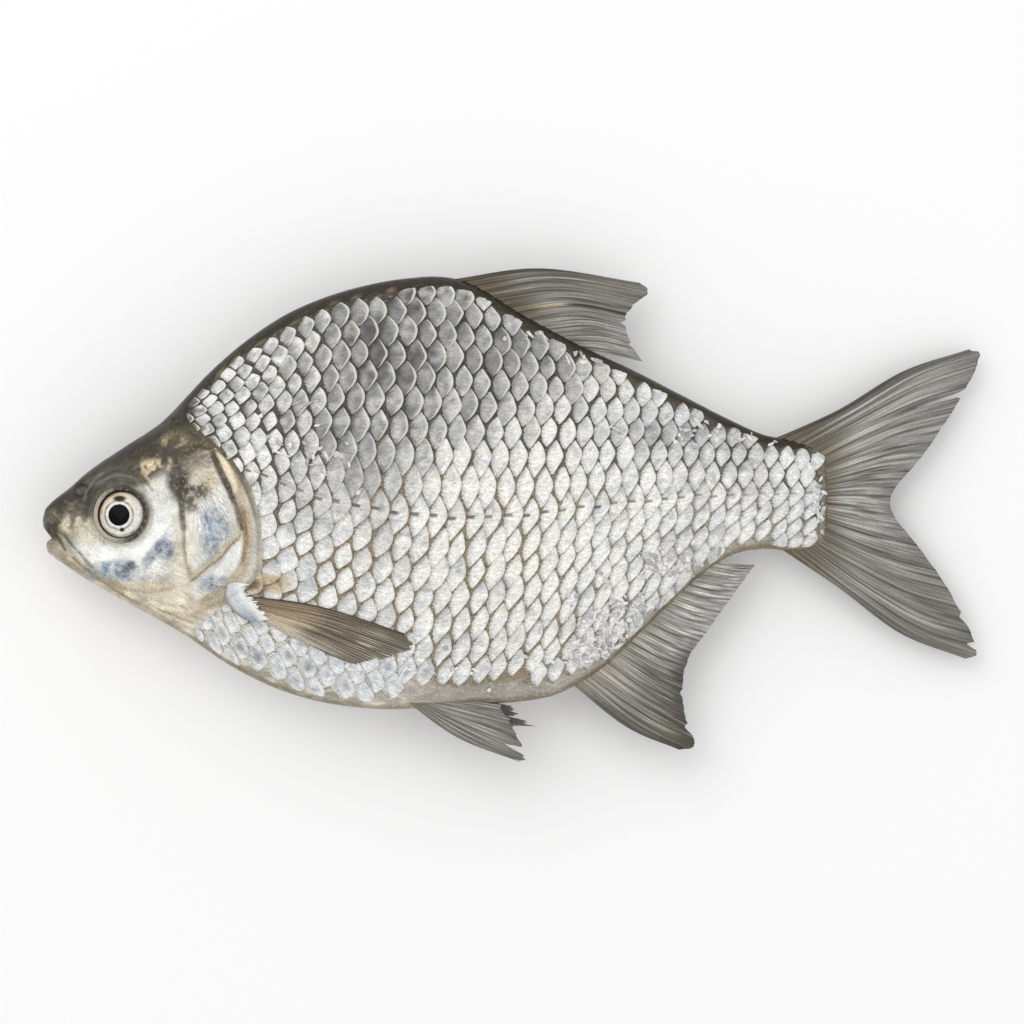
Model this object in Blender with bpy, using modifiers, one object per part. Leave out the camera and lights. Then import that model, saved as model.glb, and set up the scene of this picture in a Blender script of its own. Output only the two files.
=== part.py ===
"""A whole raw silver bream, lying on its right flank with its left flank up.

Frame: +X towards the tail, +Y towards the back, +Z up from the surface it lies on.
Outlines are in millimetres from the middle of the fish's own plan, and the mesh is in metres.
"""

import bmesh
import bpy
import numpy as np
from mathutils import Matrix, Vector

MM = 0.001

# Where the flesh begins and ends, in millimetres, and where the bowed stations have straightened out
SNOUT_X = -141.3
FLESH_END_X = 95.0
BOW_END_X = -5.0
# How finely a flank is divided, and how much its rows and stations crowd at its edge and at the snout
FLANK_ROWS = 22
HEAD_STATIONS = 30
TRUNK_STATIONS = 28
EDGE_CROWDING = 0.6
HEAD_CROWDING = 1.25

# Plan outline of the body without its fins: (x, y) along the back and along the belly
BACK_LINE = [
    (-141.3, -1.4), (-140.7, 1.2), (-139.6, 2.8), (-137.0, 5.2), (-133.6, 7.8), (-128.4, 12.4),
    (-116.4, 20.6), (-104.4, 28.8), (-98.4, 35.0), (-92.4, 41.4), (-80.4, 52.0), (-68.4, 60.0),
    (-56.4, 65.3), (-44.4, 68.8), (-32.4, 70.9), (-21.0, 71.4), (-14.0, 70.0), (-7.2, 66.6),
    (0.9, 61.4), (11.7, 55.4), (22.5, 49.8), (36.0, 43.5), (50.1, 36.3), (63.6, 29.4), (75.6, 24.1),
    (84.0, 22.4), (90.0, 20.4), (95.0, 17.4),
]
BELLY_LINE = [
    (-141.3, -1.4), (-140.9, -6.0), (-140.2, -9.6), (-138.2, -12.4), (-135.0, -14.7), (-129.2, -18.7),
    (-122.4, -22.6), (-110.4, -29.2), (-98.4, -36.0), (-86.4, -44.2), (-74.4, -50.6), (-62.4, -54.9),
    (-50.4, -57.3), (-38.4, -58.2), (-26.4, -57.9), (-9.9, -56.7), (5.7, -55.5), (12.0, -54.2),
    (18.3, -51.4), (27.6, -45.4), (39.6, -34.0), (48.0, -25.9), (58.8, -16.2), (66.0, -12.0),
    (76.5, -10.2), (84.0, -10.8), (90.0, -10.2), (95.0, -7.6),
]
# Where the flank stands highest, its height there, and how sharp the back and the belly are
RIDGE_LINE = [(-141.3, -1.4), (-137.0, -1.8), (-117.0, -3.0), (-90.0, 0.0), (-50.0, 4.0), (0.0, 3.0),
              (50.0, 4.5), (95.0, 5.0)]
HALF_WIDTH = [(-141.3, 0.0), (-140.4, 2.1), (-138.0, 3.9), (-134.0, 5.6), (-128.0, 7.6), (-117.0, 10.3),
              (-105.0, 12.6), (-92.0, 14.6), (-75.0, 16.8), (-50.0, 18.7), (-28.0, 19.2), (0.0, 17.8),
              (20.0, 15.4), (40.0, 12.4), (60.0, 9.2), (73.0, 7.3), (83.0, 5.3), (89.0, 3.6), (93.0, 2.0),
              (95.0, 0.0)]
BACK_SHARPNESS = [(-141.3, 0.5), (-115.0, 0.5), (-90.0, 0.62), (-50.0, 0.7), (10.0, 0.66), (95.0, 0.52)]
BELLY_SHARPNESS = [(-141.3, 0.5), (-110.0, 0.55), (-60.0, 0.52), (-20.0, 0.55), (10.0, 0.62), (50.0, 0.66),
                   (95.0, 0.52)]
# Height of the fish's middle plane: the head and the tail sag towards the surface
MIDDLE_PLANE = [(-141.3, 14.6), (-117.0, 16.2), (-90.0, 17.7), (-60.0, 18.2), (0.0, 18.2), (40.0, 16.4),
                (76.0, 13.4), (95.0, 11.4), (141.3, 6.4)]

# Eye: its place, its radius, its half depth, and how far it stands out of the flank around it
EYE = (-117.1, 0.2)
EYE_RADIUS = 7.1
EYE_DEPTH = 4.4
EYE_PROUD = 1.9
EYE_SEGMENTS = 22
EYE_RINGS = 12
SOCKET_GAP = 0.3
SOCKET_RIM = 8.9
SOCKET_RIM_WIDTH = 1.6
SOCKET_RIM_HEIGHT = 0.5
SOCKET_MARGIN = 3.0

# Bone edges of the head that stand out or sink in: (points, depth, half width)
GILL_EDGE = [(-92.0, 21.6), (-86.5, 17.5), (-81.0, 9.5), (-77.0, -1.0), (-76.2, -11.0), (-78.0, -18.5),
             (-84.5, -23.5), (-93.0, -28.0), (-102.0, -31.5)]
GILL_STEP = 1.1
GILL_STEP_WIDTH = 1.2
GILL_FADE = 14.0
NAPE_ABOVE_GILL = (-92.0, 46.0)
THROAT_BELOW_GILL = (-106.0, -36.0)
CREASES = [
    ([(-101.2, 14.6), (-99.2, 3.6), (-98.2, -5.2), (-98.8, -12.0), (-97.4, -18.0)], 0.55, 2.6),
    ([(-92.6, 18.2), (-86.6, 13.6), (-81.4, 1.4), (-80.4, -5.4), (-81.4, -12.0), (-85.0, -18.6)], 0.4, 2.4),
    ([(-136.5, -7.2), (-134.2, -9.8), (-131.0, -12.4)], 0.7, 1.5),
]
NOSTRIL = (-129.0, 8.1)
NOSTRIL_RADIUS = 2.0
NOSTRIL_DEPTH = 0.9

# The gape: the wedge between the lips, cut right through
GAPE = [(-144.0, -2.8), (-141.2, -3.3), (-139.2, -4.9), (-136.3, -7.3), (-140.0, -7.4), (-144.0, -7.0)]
GAPE_HALF_DEPTH = 12.0
SURFACE_BLOCK = (0.4, 0.3, 0.02)

# Fins: lines across the rays, from the root to the free margin, each from the first ray to the last
DORSAL_FIN = [
    [(-15.6, 71.0), (-10.5, 68.6), (-4.5, 65.0), (1.5, 61.0), (8.0, 57.4), (15.0, 53.4), (22.2, 49.6)],
    [(8.0, 74.0), (12.0, 71.6), (15.2, 67.4), (17.8, 63.2), (20.6, 58.8), (25.0, 53.8), (30.6, 47.9)],
    [(38.1, 69.8), (41.4, 67.5), (37.4, 63.6), (34.6, 60.2), (34.0, 56.4), (35.6, 51.8), (38.9, 46.1)],
]
ANAL_FIN = [
    [(18.9, -51.6), (23.0, -49.4), (28.2, -45.8), (33.2, -41.0), (38.6, -35.6), (44.4, -29.6),
     (50.0, -24.0), (56.0, -18.6), (62.0, -13.9)],
    [(34.0, -63.6), (38.4, -60.8), (40.6, -54.4), (42.8, -46.8), (46.4, -39.6), (51.6, -32.8),
     (57.0, -26.2), (62.8, -19.8), (67.4, -14.8)],
    [(50.0, -70.6), (55.4, -69.6), (52.2, -60.9), (51.2, -51.0), (53.4, -42.4), (58.6, -34.8),
     (64.0, -27.4), (69.2, -20.2), (72.9, -15.0)],
]
TAIL_FIN = [
    [(79.5, 23.4), (86.0, 21.6), (90.0, 17.6), (92.4, 11.5), (93.0, 5.0), (92.2, -1.0), (90.0, -6.0),
     (85.6, -9.0), (80.5, -10.2)],
    [(97.8, 31.6), (103.0, 30.8), (105.0, 25.2), (103.0, 14.8), (99.9, 4.9), (102.4, -4.6), (104.0, -13.6),
     (103.6, -22.6), (97.6, -21.7)],
    [(117.5, 43.3), (121.8, 41.4), (120.5, 32.2), (113.8, 17.6), (106.8, 4.5), (112.6, -7.6),
     (118.4, -20.0), (122.4, -34.8), (116.6, -35.6)],
    [(137.5, 50.0), (141.3, 48.2), (136.2, 36.8), (124.5, 19.0), (113.7, 4.1), (122.6, -9.8),
     (132.6, -24.0), (140.4, -41.0), (136.6, -43.4)],
]
PELVIC_FIN = [
    [(-30.8, -56.6), (-29.3, -56.1), (-27.9, -55.6), (-26.4, -55.1)],
    [(-16.4, -66.8), (-13.2, -65.0), (-12.8, -60.4), (-13.0, -55.8)],
    [(2.0, -74.0), (5.3, -73.4), (1.8, -64.8), (-3.6, -56.9)],
]
FAR_PELVIC_FIN = [
    [(-30.6, -56.2), (-28.0, -55.4), (-25.6, -54.6)],
    [(-13.2, -62.2), (-12.6, -58.6), (-12.0, -55.2)],
    [(7.4, -63.6), (3.6, -61.2), (-0.4, -57.4)],
]
PECTORAL_FIN = [
    [(-80.4, -23.8), (-79.6, -25.2), (-78.8, -26.6), (-78.0, -28.0), (-77.2, -29.4), (-76.4, -30.8)],
    [(-57.0, -27.3), (-54.6, -30.0), (-56.6, -32.6), (-59.6, -34.8), (-62.6, -36.4), (-66.0, -36.4)],
    [(-32.4, -35.2), (-28.8, -38.8), (-32.4, -41.4), (-40.0, -43.2), (-47.0, -44.6), (-55.0, -41.6)],
]


def along(table, x):
    """The smooth curve through a table's points, read at x."""
    xs, values = np.array(table, float).T
    x = np.clip(x, xs[0], xs[-1])
    slopes = np.gradient(values, xs)
    i = np.clip(np.searchsorted(xs, x) - 1, 0, len(xs) - 2)
    step = xs[i + 1] - xs[i]
    t = (x - xs[i]) / step
    return (
        (1 + 2 * t) * (1 - t) ** 2 * values[i]
        + t * (1 - t) ** 2 * step * slopes[i]
        + t * t * (3 - 2 * t) * values[i + 1]
        + t * t * (t - 1) * step * slopes[i + 1]
    )


def curve_point(points, share):
    """A point of the smooth plan curve through the given points, at a share of its way."""
    ways = np.linspace(0, 1, len(points))
    xs, ys = np.array(points, float).T
    return np.array([along(list(zip(ways, xs)), share), along(list(zip(ways, ys)), share)])


def fan_point(lines, across, out):
    """Plan point of a fin: across runs from the first ray to the last, out from the root to the margin."""
    points = np.array([curve_point(line, across) for line in lines])
    slopes = np.gradient(points, axis=0)
    i = np.minimum((out * (len(lines) - 1)).astype(int), len(lines) - 2)
    t = out * (len(lines) - 1) - i
    each = np.arange(len(out))
    return (
        (1 + 2 * t) * (1 - t) ** 2 * points[i, :, each].T
        + t * (1 - t) ** 2 * slopes[i, :, each].T
        + t * t * (3 - 2 * t) * points[i + 1, :, each].T
        + t * t * (t - 1) * slopes[i + 1, :, each].T
    )


def smooth_step(value, low, high):
    t = np.clip((value - low) / (high - low), 0, 1)
    return t * t * (3 - 2 * t)


def distance_to(points, x, y):
    """Distance from each (x, y) to a line of points. It is negative on the tail's side of the line."""
    line_x, line_y = curve_point(points, np.linspace(0, 1, 4 * len(points)))
    best = np.full(np.shape(x), np.inf)
    for ax, ay, bx, by in zip(line_x[:-1], line_y[:-1], line_x[1:], line_y[1:]):
        dx, dy = bx - ax, by - ay
        share = np.clip(((x - ax) * dx + (y - ay) * dy) / (dx * dx + dy * dy), 0, 1)
        away = np.hypot(x - ax - share * dx, y - ay - share * dy)
        side = np.sign((x - ax) * dy - (y - ay) * dx)
        best = np.where(away < np.abs(best), np.where(side < 0, -away, away), best)
    return best


def head_relief(x, y):
    """How far the bones of the head stand out of the plain flank, or sink into it."""
    inside = distance_to(GILL_EDGE, x, y)
    step = smooth_step(inside, -GILL_STEP_WIDTH, 0.0)
    height = GILL_STEP * step * np.exp(-np.maximum(inside, 0.0) / GILL_FADE)
    for points, depth, width in CREASES:
        height -= depth * np.exp(-((distance_to(points, x, y) / width) ** 2))
    ring = (np.hypot(x - EYE[0], y - EYE[1]) - SOCKET_RIM) / SOCKET_RIM_WIDTH
    height += SOCKET_RIM_HEIGHT * np.exp(-(ring ** 2))
    pit = np.hypot(x - NOSTRIL[0], y - NOSTRIL[1]) / NOSTRIL_RADIUS
    return height - NOSTRIL_DEPTH * np.exp(-(pit ** 2))


def flank_share(x, y):
    """0 on the ridge of the flank, 1 on the edge of the back, -1 on the edge of the belly."""
    ridge = along(RIDGE_LINE, x)
    up = along(BACK_LINE, x) - ridge
    down = ridge - along(BELLY_LINE, x)
    return np.clip((y - ridge) / np.maximum(np.where(y > ridge, up, down), 1e-6), -1, 1)


def half_thickness(x, y):
    """How far the flank stands from the middle plane at (x, y)."""
    share = flank_share(x, y)
    power = np.where(share > 0, along(BACK_SHARPNESS, x), along(BELLY_SHARPNESS, x))
    plain = along(HALF_WIDTH, x) * (1 - share ** 2) ** power
    edge_fade = smooth_step(1 - np.abs(share), 0.0, 0.12) * smooth_step(x, SNOUT_X, SNOUT_X + 4)
    return plain + head_relief(x, y) * edge_fade


def material(name, colour, roughness, metallic):
    made = bpy.data.materials.new(name)
    made.use_nodes = True
    shader = made.node_tree.nodes["Principled BSDF"]
    shader.inputs["Base Color"].default_value = (*colour, 1.0)
    shader.inputs["Roughness"].default_value = roughness
    shader.inputs["Metallic"].default_value = metallic
    return made


def collection(name):
    made = bpy.data.collections.new(name)
    bpy.context.scene.collection.children.link(made)
    return made


def mesh_object(name, grid, place, look=None):
    """Makes an object of a bmesh, in its collection."""
    mesh = bpy.data.meshes.new(name)
    grid.to_mesh(mesh)
    grid.free()
    made = bpy.data.objects.new(name, mesh)
    place.objects.link(made)
    if look:
        mesh.materials.append(look)
    return made


def gill_column():
    """x of the gill cover's edge as a table over y, carried on to the back and to the belly."""
    edge = [THROAT_BELOW_GILL, *reversed(GILL_EDGE), NAPE_ABOVE_GILL]
    return [(y, x) for x, y in edge]


def stations():
    """Stations along the ridge: close at the snout, two on the gill cover's edge, wider on the trunk."""
    edge_x = along(gill_column(), along(RIDGE_LINE, GILL_EDGE[3][0]))
    head = SNOUT_X + (edge_x - SNOUT_X) * np.linspace(0, 1, HEAD_STATIONS + 1) ** HEAD_CROWDING
    trunk = np.linspace(edge_x + GILL_STEP_WIDTH, FLESH_END_X, TRUNK_STATIONS + 1)
    return np.concatenate([head, trunk])


def flank_point(x, share):
    """y of the point at a share of the way from the flank's ridge to the edge of the back or belly."""
    ridge = along(RIDGE_LINE, x)
    return ridge + share * np.where(share > 0, along(BACK_LINE, x) - ridge, ridge - along(BELLY_LINE, x))


def bow_stations(xs, share):
    """Bends the stations near the gill cover so that one of them runs along its edge."""
    edge_x = xs[HEAD_STATIONS]
    bend = np.full(share.shape, edge_x)
    for _ in range(12):
        bend = 0.5 * bend + 0.5 * along(gill_column(), flank_point(bend, share))
    return bend - edge_x


def place_vertices(grid, x, y, z):
    """Moves each vertex of a bmesh to its own place, given in millimetres."""
    for vertex, point in zip(grid.verts, np.stack([x, y, z], axis=-1)):
        vertex.co = Vector(point) * MM


def body_blank(place):
    """The body without fins: one flank shaped from a grid, mirrored to the other and laid to sag."""
    xs = stations()
    grid = bmesh.new()
    bmesh.ops.create_grid(grid, x_segments=len(xs) - 1, y_segments=FLANK_ROWS, size=0.5)
    across, up, _ = np.array([vertex.co for vertex in grid.verts]).T
    station = xs[np.rint((across + 0.5) * (len(xs) - 1)).astype(int)]
    share = EDGE_CROWDING * np.sin(np.pi * up) + (1 - EDGE_CROWDING) * 2 * up
    edge_x = xs[HEAD_STATIONS]
    ahead = (station - SNOUT_X) / (edge_x - SNOUT_X)
    behind = (BOW_END_X - station) / (BOW_END_X - edge_x)
    x = station + np.clip(np.minimum(ahead, behind), 0, 1) * bow_stations(xs, share)
    y = flank_point(x, share)
    on_edge = (np.abs(share) > 0.9999) | (station == xs[0]) | (station == xs[-1])
    place_vertices(grid, x, y, np.where(on_edge, 0.0, half_thickness(x, y)))
    bmesh.ops.mirror(grid, geom=grid.verts[:] + grid.edges[:] + grid.faces[:], axis="Z", merge_dist=1e-6)
    bmesh.ops.remove_doubles(grid, verts=grid.verts, dist=2e-6)
    for vertex in grid.verts:
        vertex.co.z += along(MIDDLE_PLANE, vertex.co.x / MM) * MM
    bmesh.ops.recalc_face_normals(grid, faces=grid.faces)
    return mesh_object("fish", grid, place)


def fin(place, name, lines, height_at, rays, steps, thickness, margin_share, web_share=0.7):
    """A fin: a fan of rays shaped from a grid, thick on each ray, thinner on the web and at the margin."""
    grid = bmesh.new()
    bmesh.ops.create_grid(grid, x_segments=2 * rays, y_segments=steps, size=0.5)
    across, out = np.array([vertex.co.xy for vertex in grid.verts]).T + 0.5
    x, y = fan_point(lines, across, out)
    place_vertices(grid, x, y, height_at(x, y, out))
    on_ray = np.rint(across * 2 * rays) % 2 == 0
    weights = (1 - (1 - margin_share) * out) * np.where(on_ray, 1.0, web_share)
    made = mesh_object(name, grid, place)
    group = made.vertex_groups.new(name="thickness")
    for index, weight in enumerate(weights):
        group.add([index], float(weight), "REPLACE")
    solidify = made.modifiers.new("Thickness", "SOLIDIFY")
    solidify.thickness = thickness * MM
    solidify.offset = 0.0
    solidify.vertex_group = group.name
    solidify.thickness_vertex_group = 0.0
    return made


def rooted(lines, depth):
    """The same fin with its root carried on along its rays, into the flesh."""
    root, inner = np.array(lines[0]), np.array(lines[1])
    back = root - inner
    back /= np.linalg.norm(back, axis=1)[:, None]
    return [root + depth * back, *lines[1:]]


def on_middle_plane(droop):
    """Height for a fin in the fish's middle plane, which droops towards its margin."""
    return lambda x, y, out: along(MIDDLE_PLANE, x) - droop * out ** 2


def beside_keel(side, start, end):
    """Height for a pelvic fin, from a little beside the middle plane at its root."""
    return lambda x, y, out: along(MIDDLE_PLANE, x) + side * (start + (end - start) * out)


def on_flank(side, proud):
    """Height for a pectoral fin folded back on the flank."""
    return lambda x, y, out: along(MIDDLE_PLANE, x) + side * (half_thickness(x, y) + proud)


def fins(place):
    """All seven fins: three in the middle plane, and two pairs."""
    fin(place, "dorsal_fin", rooted(DORSAL_FIN, 3.0), on_middle_plane(droop=2.0), rays=10, steps=8,
        thickness=2.2, margin_share=0.4)
    fin(place, "anal_fin", rooted(ANAL_FIN, 3.0), on_middle_plane(droop=2.4), rays=20, steps=5,
        thickness=2.0, margin_share=0.42)
    fin(place, "tail_fin", rooted(TAIL_FIN, 4.0), on_middle_plane(droop=0.0), rays=18, steps=9,
        thickness=2.8, margin_share=0.36)
    fin(place, "pelvic_left", rooted(PELVIC_FIN, 2.0), beside_keel(side=1, start=3.6, end=1.6), rays=6,
        steps=6, thickness=1.8, margin_share=0.45)
    fin(place, "pelvic_right", rooted(FAR_PELVIC_FIN, 2.0), beside_keel(side=-1, start=3.6, end=4.6),
        rays=6, steps=6, thickness=1.8, margin_share=0.45)
    for name, side in (("pectoral_left", 1), ("pectoral_right", -1)):
        fin(place, name, PECTORAL_FIN, on_flank(side, proud=-0.5), rays=8, steps=8,
            thickness=3.2, margin_share=0.62, web_share=0.88)


def join_all(body, parts):
    """Fuses a collection's objects to the body, and removes them."""
    union = body.modifiers.new("Fins", "BOOLEAN")
    union.operation = "UNION"
    union.operand_type = "COLLECTION"
    union.collection = parts
    union.solver = "EXACT"
    apply_modifiers(body)
    for made in list(parts.objects):
        bpy.data.objects.remove(made)
    bpy.data.collections.remove(parts)


def apply_modifiers(body):
    graph = bpy.context.evaluated_depsgraph_get()
    fused = bpy.data.meshes.new_from_object(body.evaluated_get(graph))
    old = body.data
    body.modifiers.clear()
    body.data = fused
    bpy.data.meshes.remove(old)


def cut(body, cutter):
    cutter.hide_render = True
    cutter.display_type = "WIRE"
    difference = body.modifiers.new(cutter.name, "BOOLEAN")
    difference.operation = "DIFFERENCE"
    difference.object = cutter
    difference.solver = "EXACT"


def eye_frame(side):
    """Where the eyeball's middle lies, and the way it looks: square to the flank around it."""
    x, y = EYE
    reach = EYE_RADIUS + SOCKET_MARGIN
    slope_x = (half_thickness(x + reach, y) - half_thickness(x - reach, y)) / (2 * reach)
    slope_y = (half_thickness(x, y + reach) - half_thickness(x, y - reach)) / (2 * reach)
    look = Vector((-slope_x, -slope_y, 1.0)).normalized()
    height = half_thickness(x + reach, y) / 2 + half_thickness(x - reach, y) / 2
    middle = Vector((x, y, height)) + look * (EYE_PROUD - EYE_DEPTH)
    look.z *= side
    middle.z = along(MIDDLE_PLANE, x) + side * middle.z
    return Matrix.Translation(middle * MM) @ look.to_track_quat("Z", "Y").to_matrix().to_4x4()


def eyeball(name, side, grow, place, look=None):
    """A flattened ball. grow makes it larger all round, for the socket that holds it."""
    ball = bmesh.new()
    radius, depth = (EYE_RADIUS + grow) * MM, (EYE_DEPTH + grow) * MM
    flat = Matrix.Diagonal((radius, radius, depth, 1.0))
    bmesh.ops.create_uvsphere(ball, u_segments=EYE_SEGMENTS, v_segments=EYE_RINGS, radius=1.0, matrix=flat)
    made = mesh_object(name, ball, place, look)
    made.matrix_world = eye_frame(side)
    for face in made.data.polygons:
        face.use_smooth = True
    return made


def gape_cutter(place):
    """The wedge of air between the lips, as a flat outline with thickness."""
    outline = bpy.data.curves.new("gape_cutter", "CURVE")
    outline.dimensions = "2D"
    outline.fill_mode = "BOTH"
    outline.extrude = GAPE_HALF_DEPTH * MM
    spline = outline.splines.new("POLY")
    spline.points.add(len(GAPE) - 1)
    for point, (x, y) in zip(spline.points, GAPE):
        point.co = (x * MM, y * MM, 0.0, 1.0)
    spline.use_cyclic_u = True
    drawn = bpy.data.objects.new("gape_outline", outline)
    place.objects.link(drawn)
    graph = bpy.context.evaluated_depsgraph_get()
    solid = bmesh.new()
    solid.from_mesh(bpy.data.meshes.new_from_object(drawn.evaluated_get(graph)))
    bpy.data.objects.remove(drawn)
    bmesh.ops.remove_doubles(solid, verts=solid.verts, dist=1e-6)
    bmesh.ops.recalc_face_normals(solid, faces=solid.faces)
    made = mesh_object("gape_cutter", solid, place)
    made.location.z = along(MIDDLE_PLANE, SNOUT_X) * MM
    return made


def surface_cutter(place):
    """A block under the surface that the fish lies on: what it cuts off is the flat spot."""
    block = bmesh.new()
    bmesh.ops.create_cube(block, size=1.0, matrix=Matrix.Diagonal((*SURFACE_BLOCK, 1.0)))
    made = mesh_object("surface_cutter", block, place)
    made.location.z = -SURFACE_BLOCK[2] / 2
    return made


def main():
    for old in list(bpy.data.objects):
        bpy.data.objects.remove(old)
    skin = material("silver_skin", (0.62, 0.61, 0.57), 0.35, 0.35)
    eye = material("eye", (0.55, 0.52, 0.44), 0.08, 0.0)
    fish = collection("silver_bream")
    cutters = collection("cutters")
    parts = collection("fin_blanks")

    body = body_blank(fish)
    fins(parts)
    join_all(body, parts)
    body.data.materials.clear()
    body.data.materials.append(skin)
    for name, side in (("left", 1), ("right", -1)):
        cut(body, eyeball("socket_" + name, side, SOCKET_GAP, cutters))
        eyeball("eye_" + name, side, 0.0, fish, eye)
    cut(body, gape_cutter(cutters))
    cut(body, surface_cutter(cutters))
    apply_modifiers(body)
    body.data.shade_smooth()
    body.data.set_sharp_from_angle(angle=np.radians(40))


main()
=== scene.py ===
import bmesh
import bpy
import numpy as np
from mathutils import Matrix, Vector


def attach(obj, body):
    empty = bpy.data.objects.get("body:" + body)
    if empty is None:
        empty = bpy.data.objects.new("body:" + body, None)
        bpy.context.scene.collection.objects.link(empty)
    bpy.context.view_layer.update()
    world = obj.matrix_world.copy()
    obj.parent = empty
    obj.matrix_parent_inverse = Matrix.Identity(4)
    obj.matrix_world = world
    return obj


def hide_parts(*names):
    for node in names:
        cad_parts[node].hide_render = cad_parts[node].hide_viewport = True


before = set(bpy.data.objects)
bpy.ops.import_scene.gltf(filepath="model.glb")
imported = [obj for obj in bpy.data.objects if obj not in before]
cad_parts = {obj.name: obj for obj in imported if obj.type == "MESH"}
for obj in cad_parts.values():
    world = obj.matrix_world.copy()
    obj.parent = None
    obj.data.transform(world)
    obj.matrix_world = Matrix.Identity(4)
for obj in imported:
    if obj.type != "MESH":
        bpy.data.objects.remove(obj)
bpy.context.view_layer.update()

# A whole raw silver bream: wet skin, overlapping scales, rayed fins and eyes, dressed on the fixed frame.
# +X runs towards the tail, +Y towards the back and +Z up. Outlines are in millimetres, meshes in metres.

MM = 0.001

# Where the flesh begins and ends, and where the bowed stations have straightened out
SNOUT_X = -141.3
FLESH_END_X = 95.0
BOW_END_X = -5.0
# How finely a flank is divided, how much its rows and stations crowd at its edge and at the snout,
# and over what share of the edge and what length of the snout its relief fades in
FLANK_ROWS = 124
HEAD_STATIONS = 128
TRUNK_STATIONS = 100
EDGE_CROWDING = 0.6
HEAD_CROWDING = 1.12
EDGE_FADE = 0.12
SNOUT_FADE = 4.0
BOW_ROUNDS = 12

# Plan outline of the body without its fins: (x, y) along the back and along the belly
BACK_LINE = [
    (-141.3, -1.4), (-140.7, 1.2), (-139.6, 2.8), (-137.0, 5.2), (-133.6, 7.8), (-128.4, 12.4),
    (-116.4, 20.6), (-104.4, 28.8), (-98.4, 35.0), (-92.4, 41.4), (-80.4, 52.0), (-68.4, 60.0),
    (-56.4, 65.3), (-44.4, 68.8), (-32.4, 70.9), (-21.0, 71.4), (-14.0, 70.0), (-7.2, 66.6),
    (0.9, 61.4), (11.7, 55.4), (22.5, 49.8), (36.0, 43.5), (50.1, 36.3), (63.6, 29.4), (75.6, 24.1),
    (84.0, 22.4), (90.0, 20.4), (95.0, 17.4),
]
BELLY_LINE = [
    (-141.3, -1.4), (-140.9, -6.0), (-140.2, -9.6), (-138.2, -12.4), (-135.0, -14.7), (-129.2, -18.7),
    (-122.4, -22.6), (-110.4, -29.2), (-98.4, -36.0), (-86.4, -44.2), (-74.4, -50.6), (-62.4, -54.9),
    (-50.4, -57.3), (-38.4, -58.2), (-26.4, -57.9), (-9.9, -56.7), (5.7, -55.5), (12.0, -54.2),
    (18.3, -51.4), (27.6, -45.4), (39.6, -34.0), (48.0, -25.9), (58.8, -16.2), (66.0, -12.0),
    (76.5, -10.2), (84.0, -10.8), (90.0, -10.2), (95.0, -7.6),
]
RIDGE_LINE = [(-141.3, -1.4), (-137.0, -1.8), (-117.0, -3.0), (-90.0, 0.0), (-50.0, 4.0), (0.0, 3.0),
              (50.0, 4.5), (95.0, 5.0)]
HALF_WIDTH = [(-141.3, 0.0), (-140.4, 2.1), (-138.0, 3.9), (-134.0, 5.6), (-128.0, 7.6), (-117.0, 10.3),
              (-105.0, 12.6), (-92.0, 14.6), (-75.0, 16.8), (-50.0, 18.7), (-28.0, 19.2), (0.0, 17.8),
              (20.0, 15.4), (40.0, 12.4), (60.0, 9.2), (73.0, 7.3), (83.0, 5.3), (89.0, 3.6), (93.0, 2.0),
              (95.0, 0.0)]
BACK_SHARPNESS = [(-141.3, 0.5), (-115.0, 0.5), (-90.0, 0.62), (-50.0, 0.7), (10.0, 0.66), (95.0, 0.52)]
BELLY_SHARPNESS = [(-141.3, 0.5), (-110.0, 0.55), (-60.0, 0.52), (-20.0, 0.55), (10.0, 0.62), (50.0, 0.66),
                   (95.0, 0.52)]
MIDDLE_PLANE = [(-141.3, 14.6), (-117.0, 16.2), (-90.0, 17.7), (-60.0, 18.2), (0.0, 18.2), (40.0, 16.4),
                (76.0, 13.4), (95.0, 11.4), (141.3, 6.4)]

# Eye: its place, radius, half depth and how far it stands out, and its socket
EYE = (-117.1, 0.2)
EYE_RADIUS = 7.1
EYE_DEPTH = 4.4
EYE_PROUD = 1.9
EYE_FULLNESS = 2.5
SOCKET_RIM = 8.9
SOCKET_RIM_WIDTH = 1.6
SOCKET_RIM_HEIGHT = 0.5
SOCKET_MARGIN = 3.0
PIT_DEPTH = 3.4
PIT_WALL = (7.0, 7.7)
LID_RADIUS = 7.86
LID_WIDTH = 0.74
LID_HEIGHT = 0.6
PUPIL_RADIUS = 3.24
PUPIL = (-117.6, 0.0)
EYE_RINGS = 46
EYE_TURNS = 96
LID_STEPS = 12

# Bone edges of the head: the gill cover, then creases as (points, depth, half width)
GILL_EDGE = [(-92.0, 21.6), (-86.5, 17.5), (-81.0, 9.5), (-77.0, -1.0), (-76.2, -11.0), (-78.0, -18.5),
             (-84.5, -23.5), (-93.0, -28.0), (-102.0, -31.5)]
GILL_STEP = 1.1
GILL_STEP_WIDTH = 1.2
GILL_FADE = 14.0
NAPE_ABOVE_GILL = (-92.0, 46.0)
THROAT_BELOW_GILL = (-106.0, -36.0)
CREASES = [
    ([(-101.2, 14.6), (-99.2, 3.6), (-98.2, -5.2), (-98.8, -12.0), (-97.4, -18.0)], 0.55, 2.6),
    ([(-92.6, 18.2), (-86.6, 13.6), (-81.4, 1.4), (-80.4, -5.4), (-81.4, -12.0), (-85.0, -18.6)], 0.4, 2.4),
    ([(-136.5, -7.2), (-134.2, -9.8), (-131.0, -12.4)], 0.7, 1.5),
]
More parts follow.
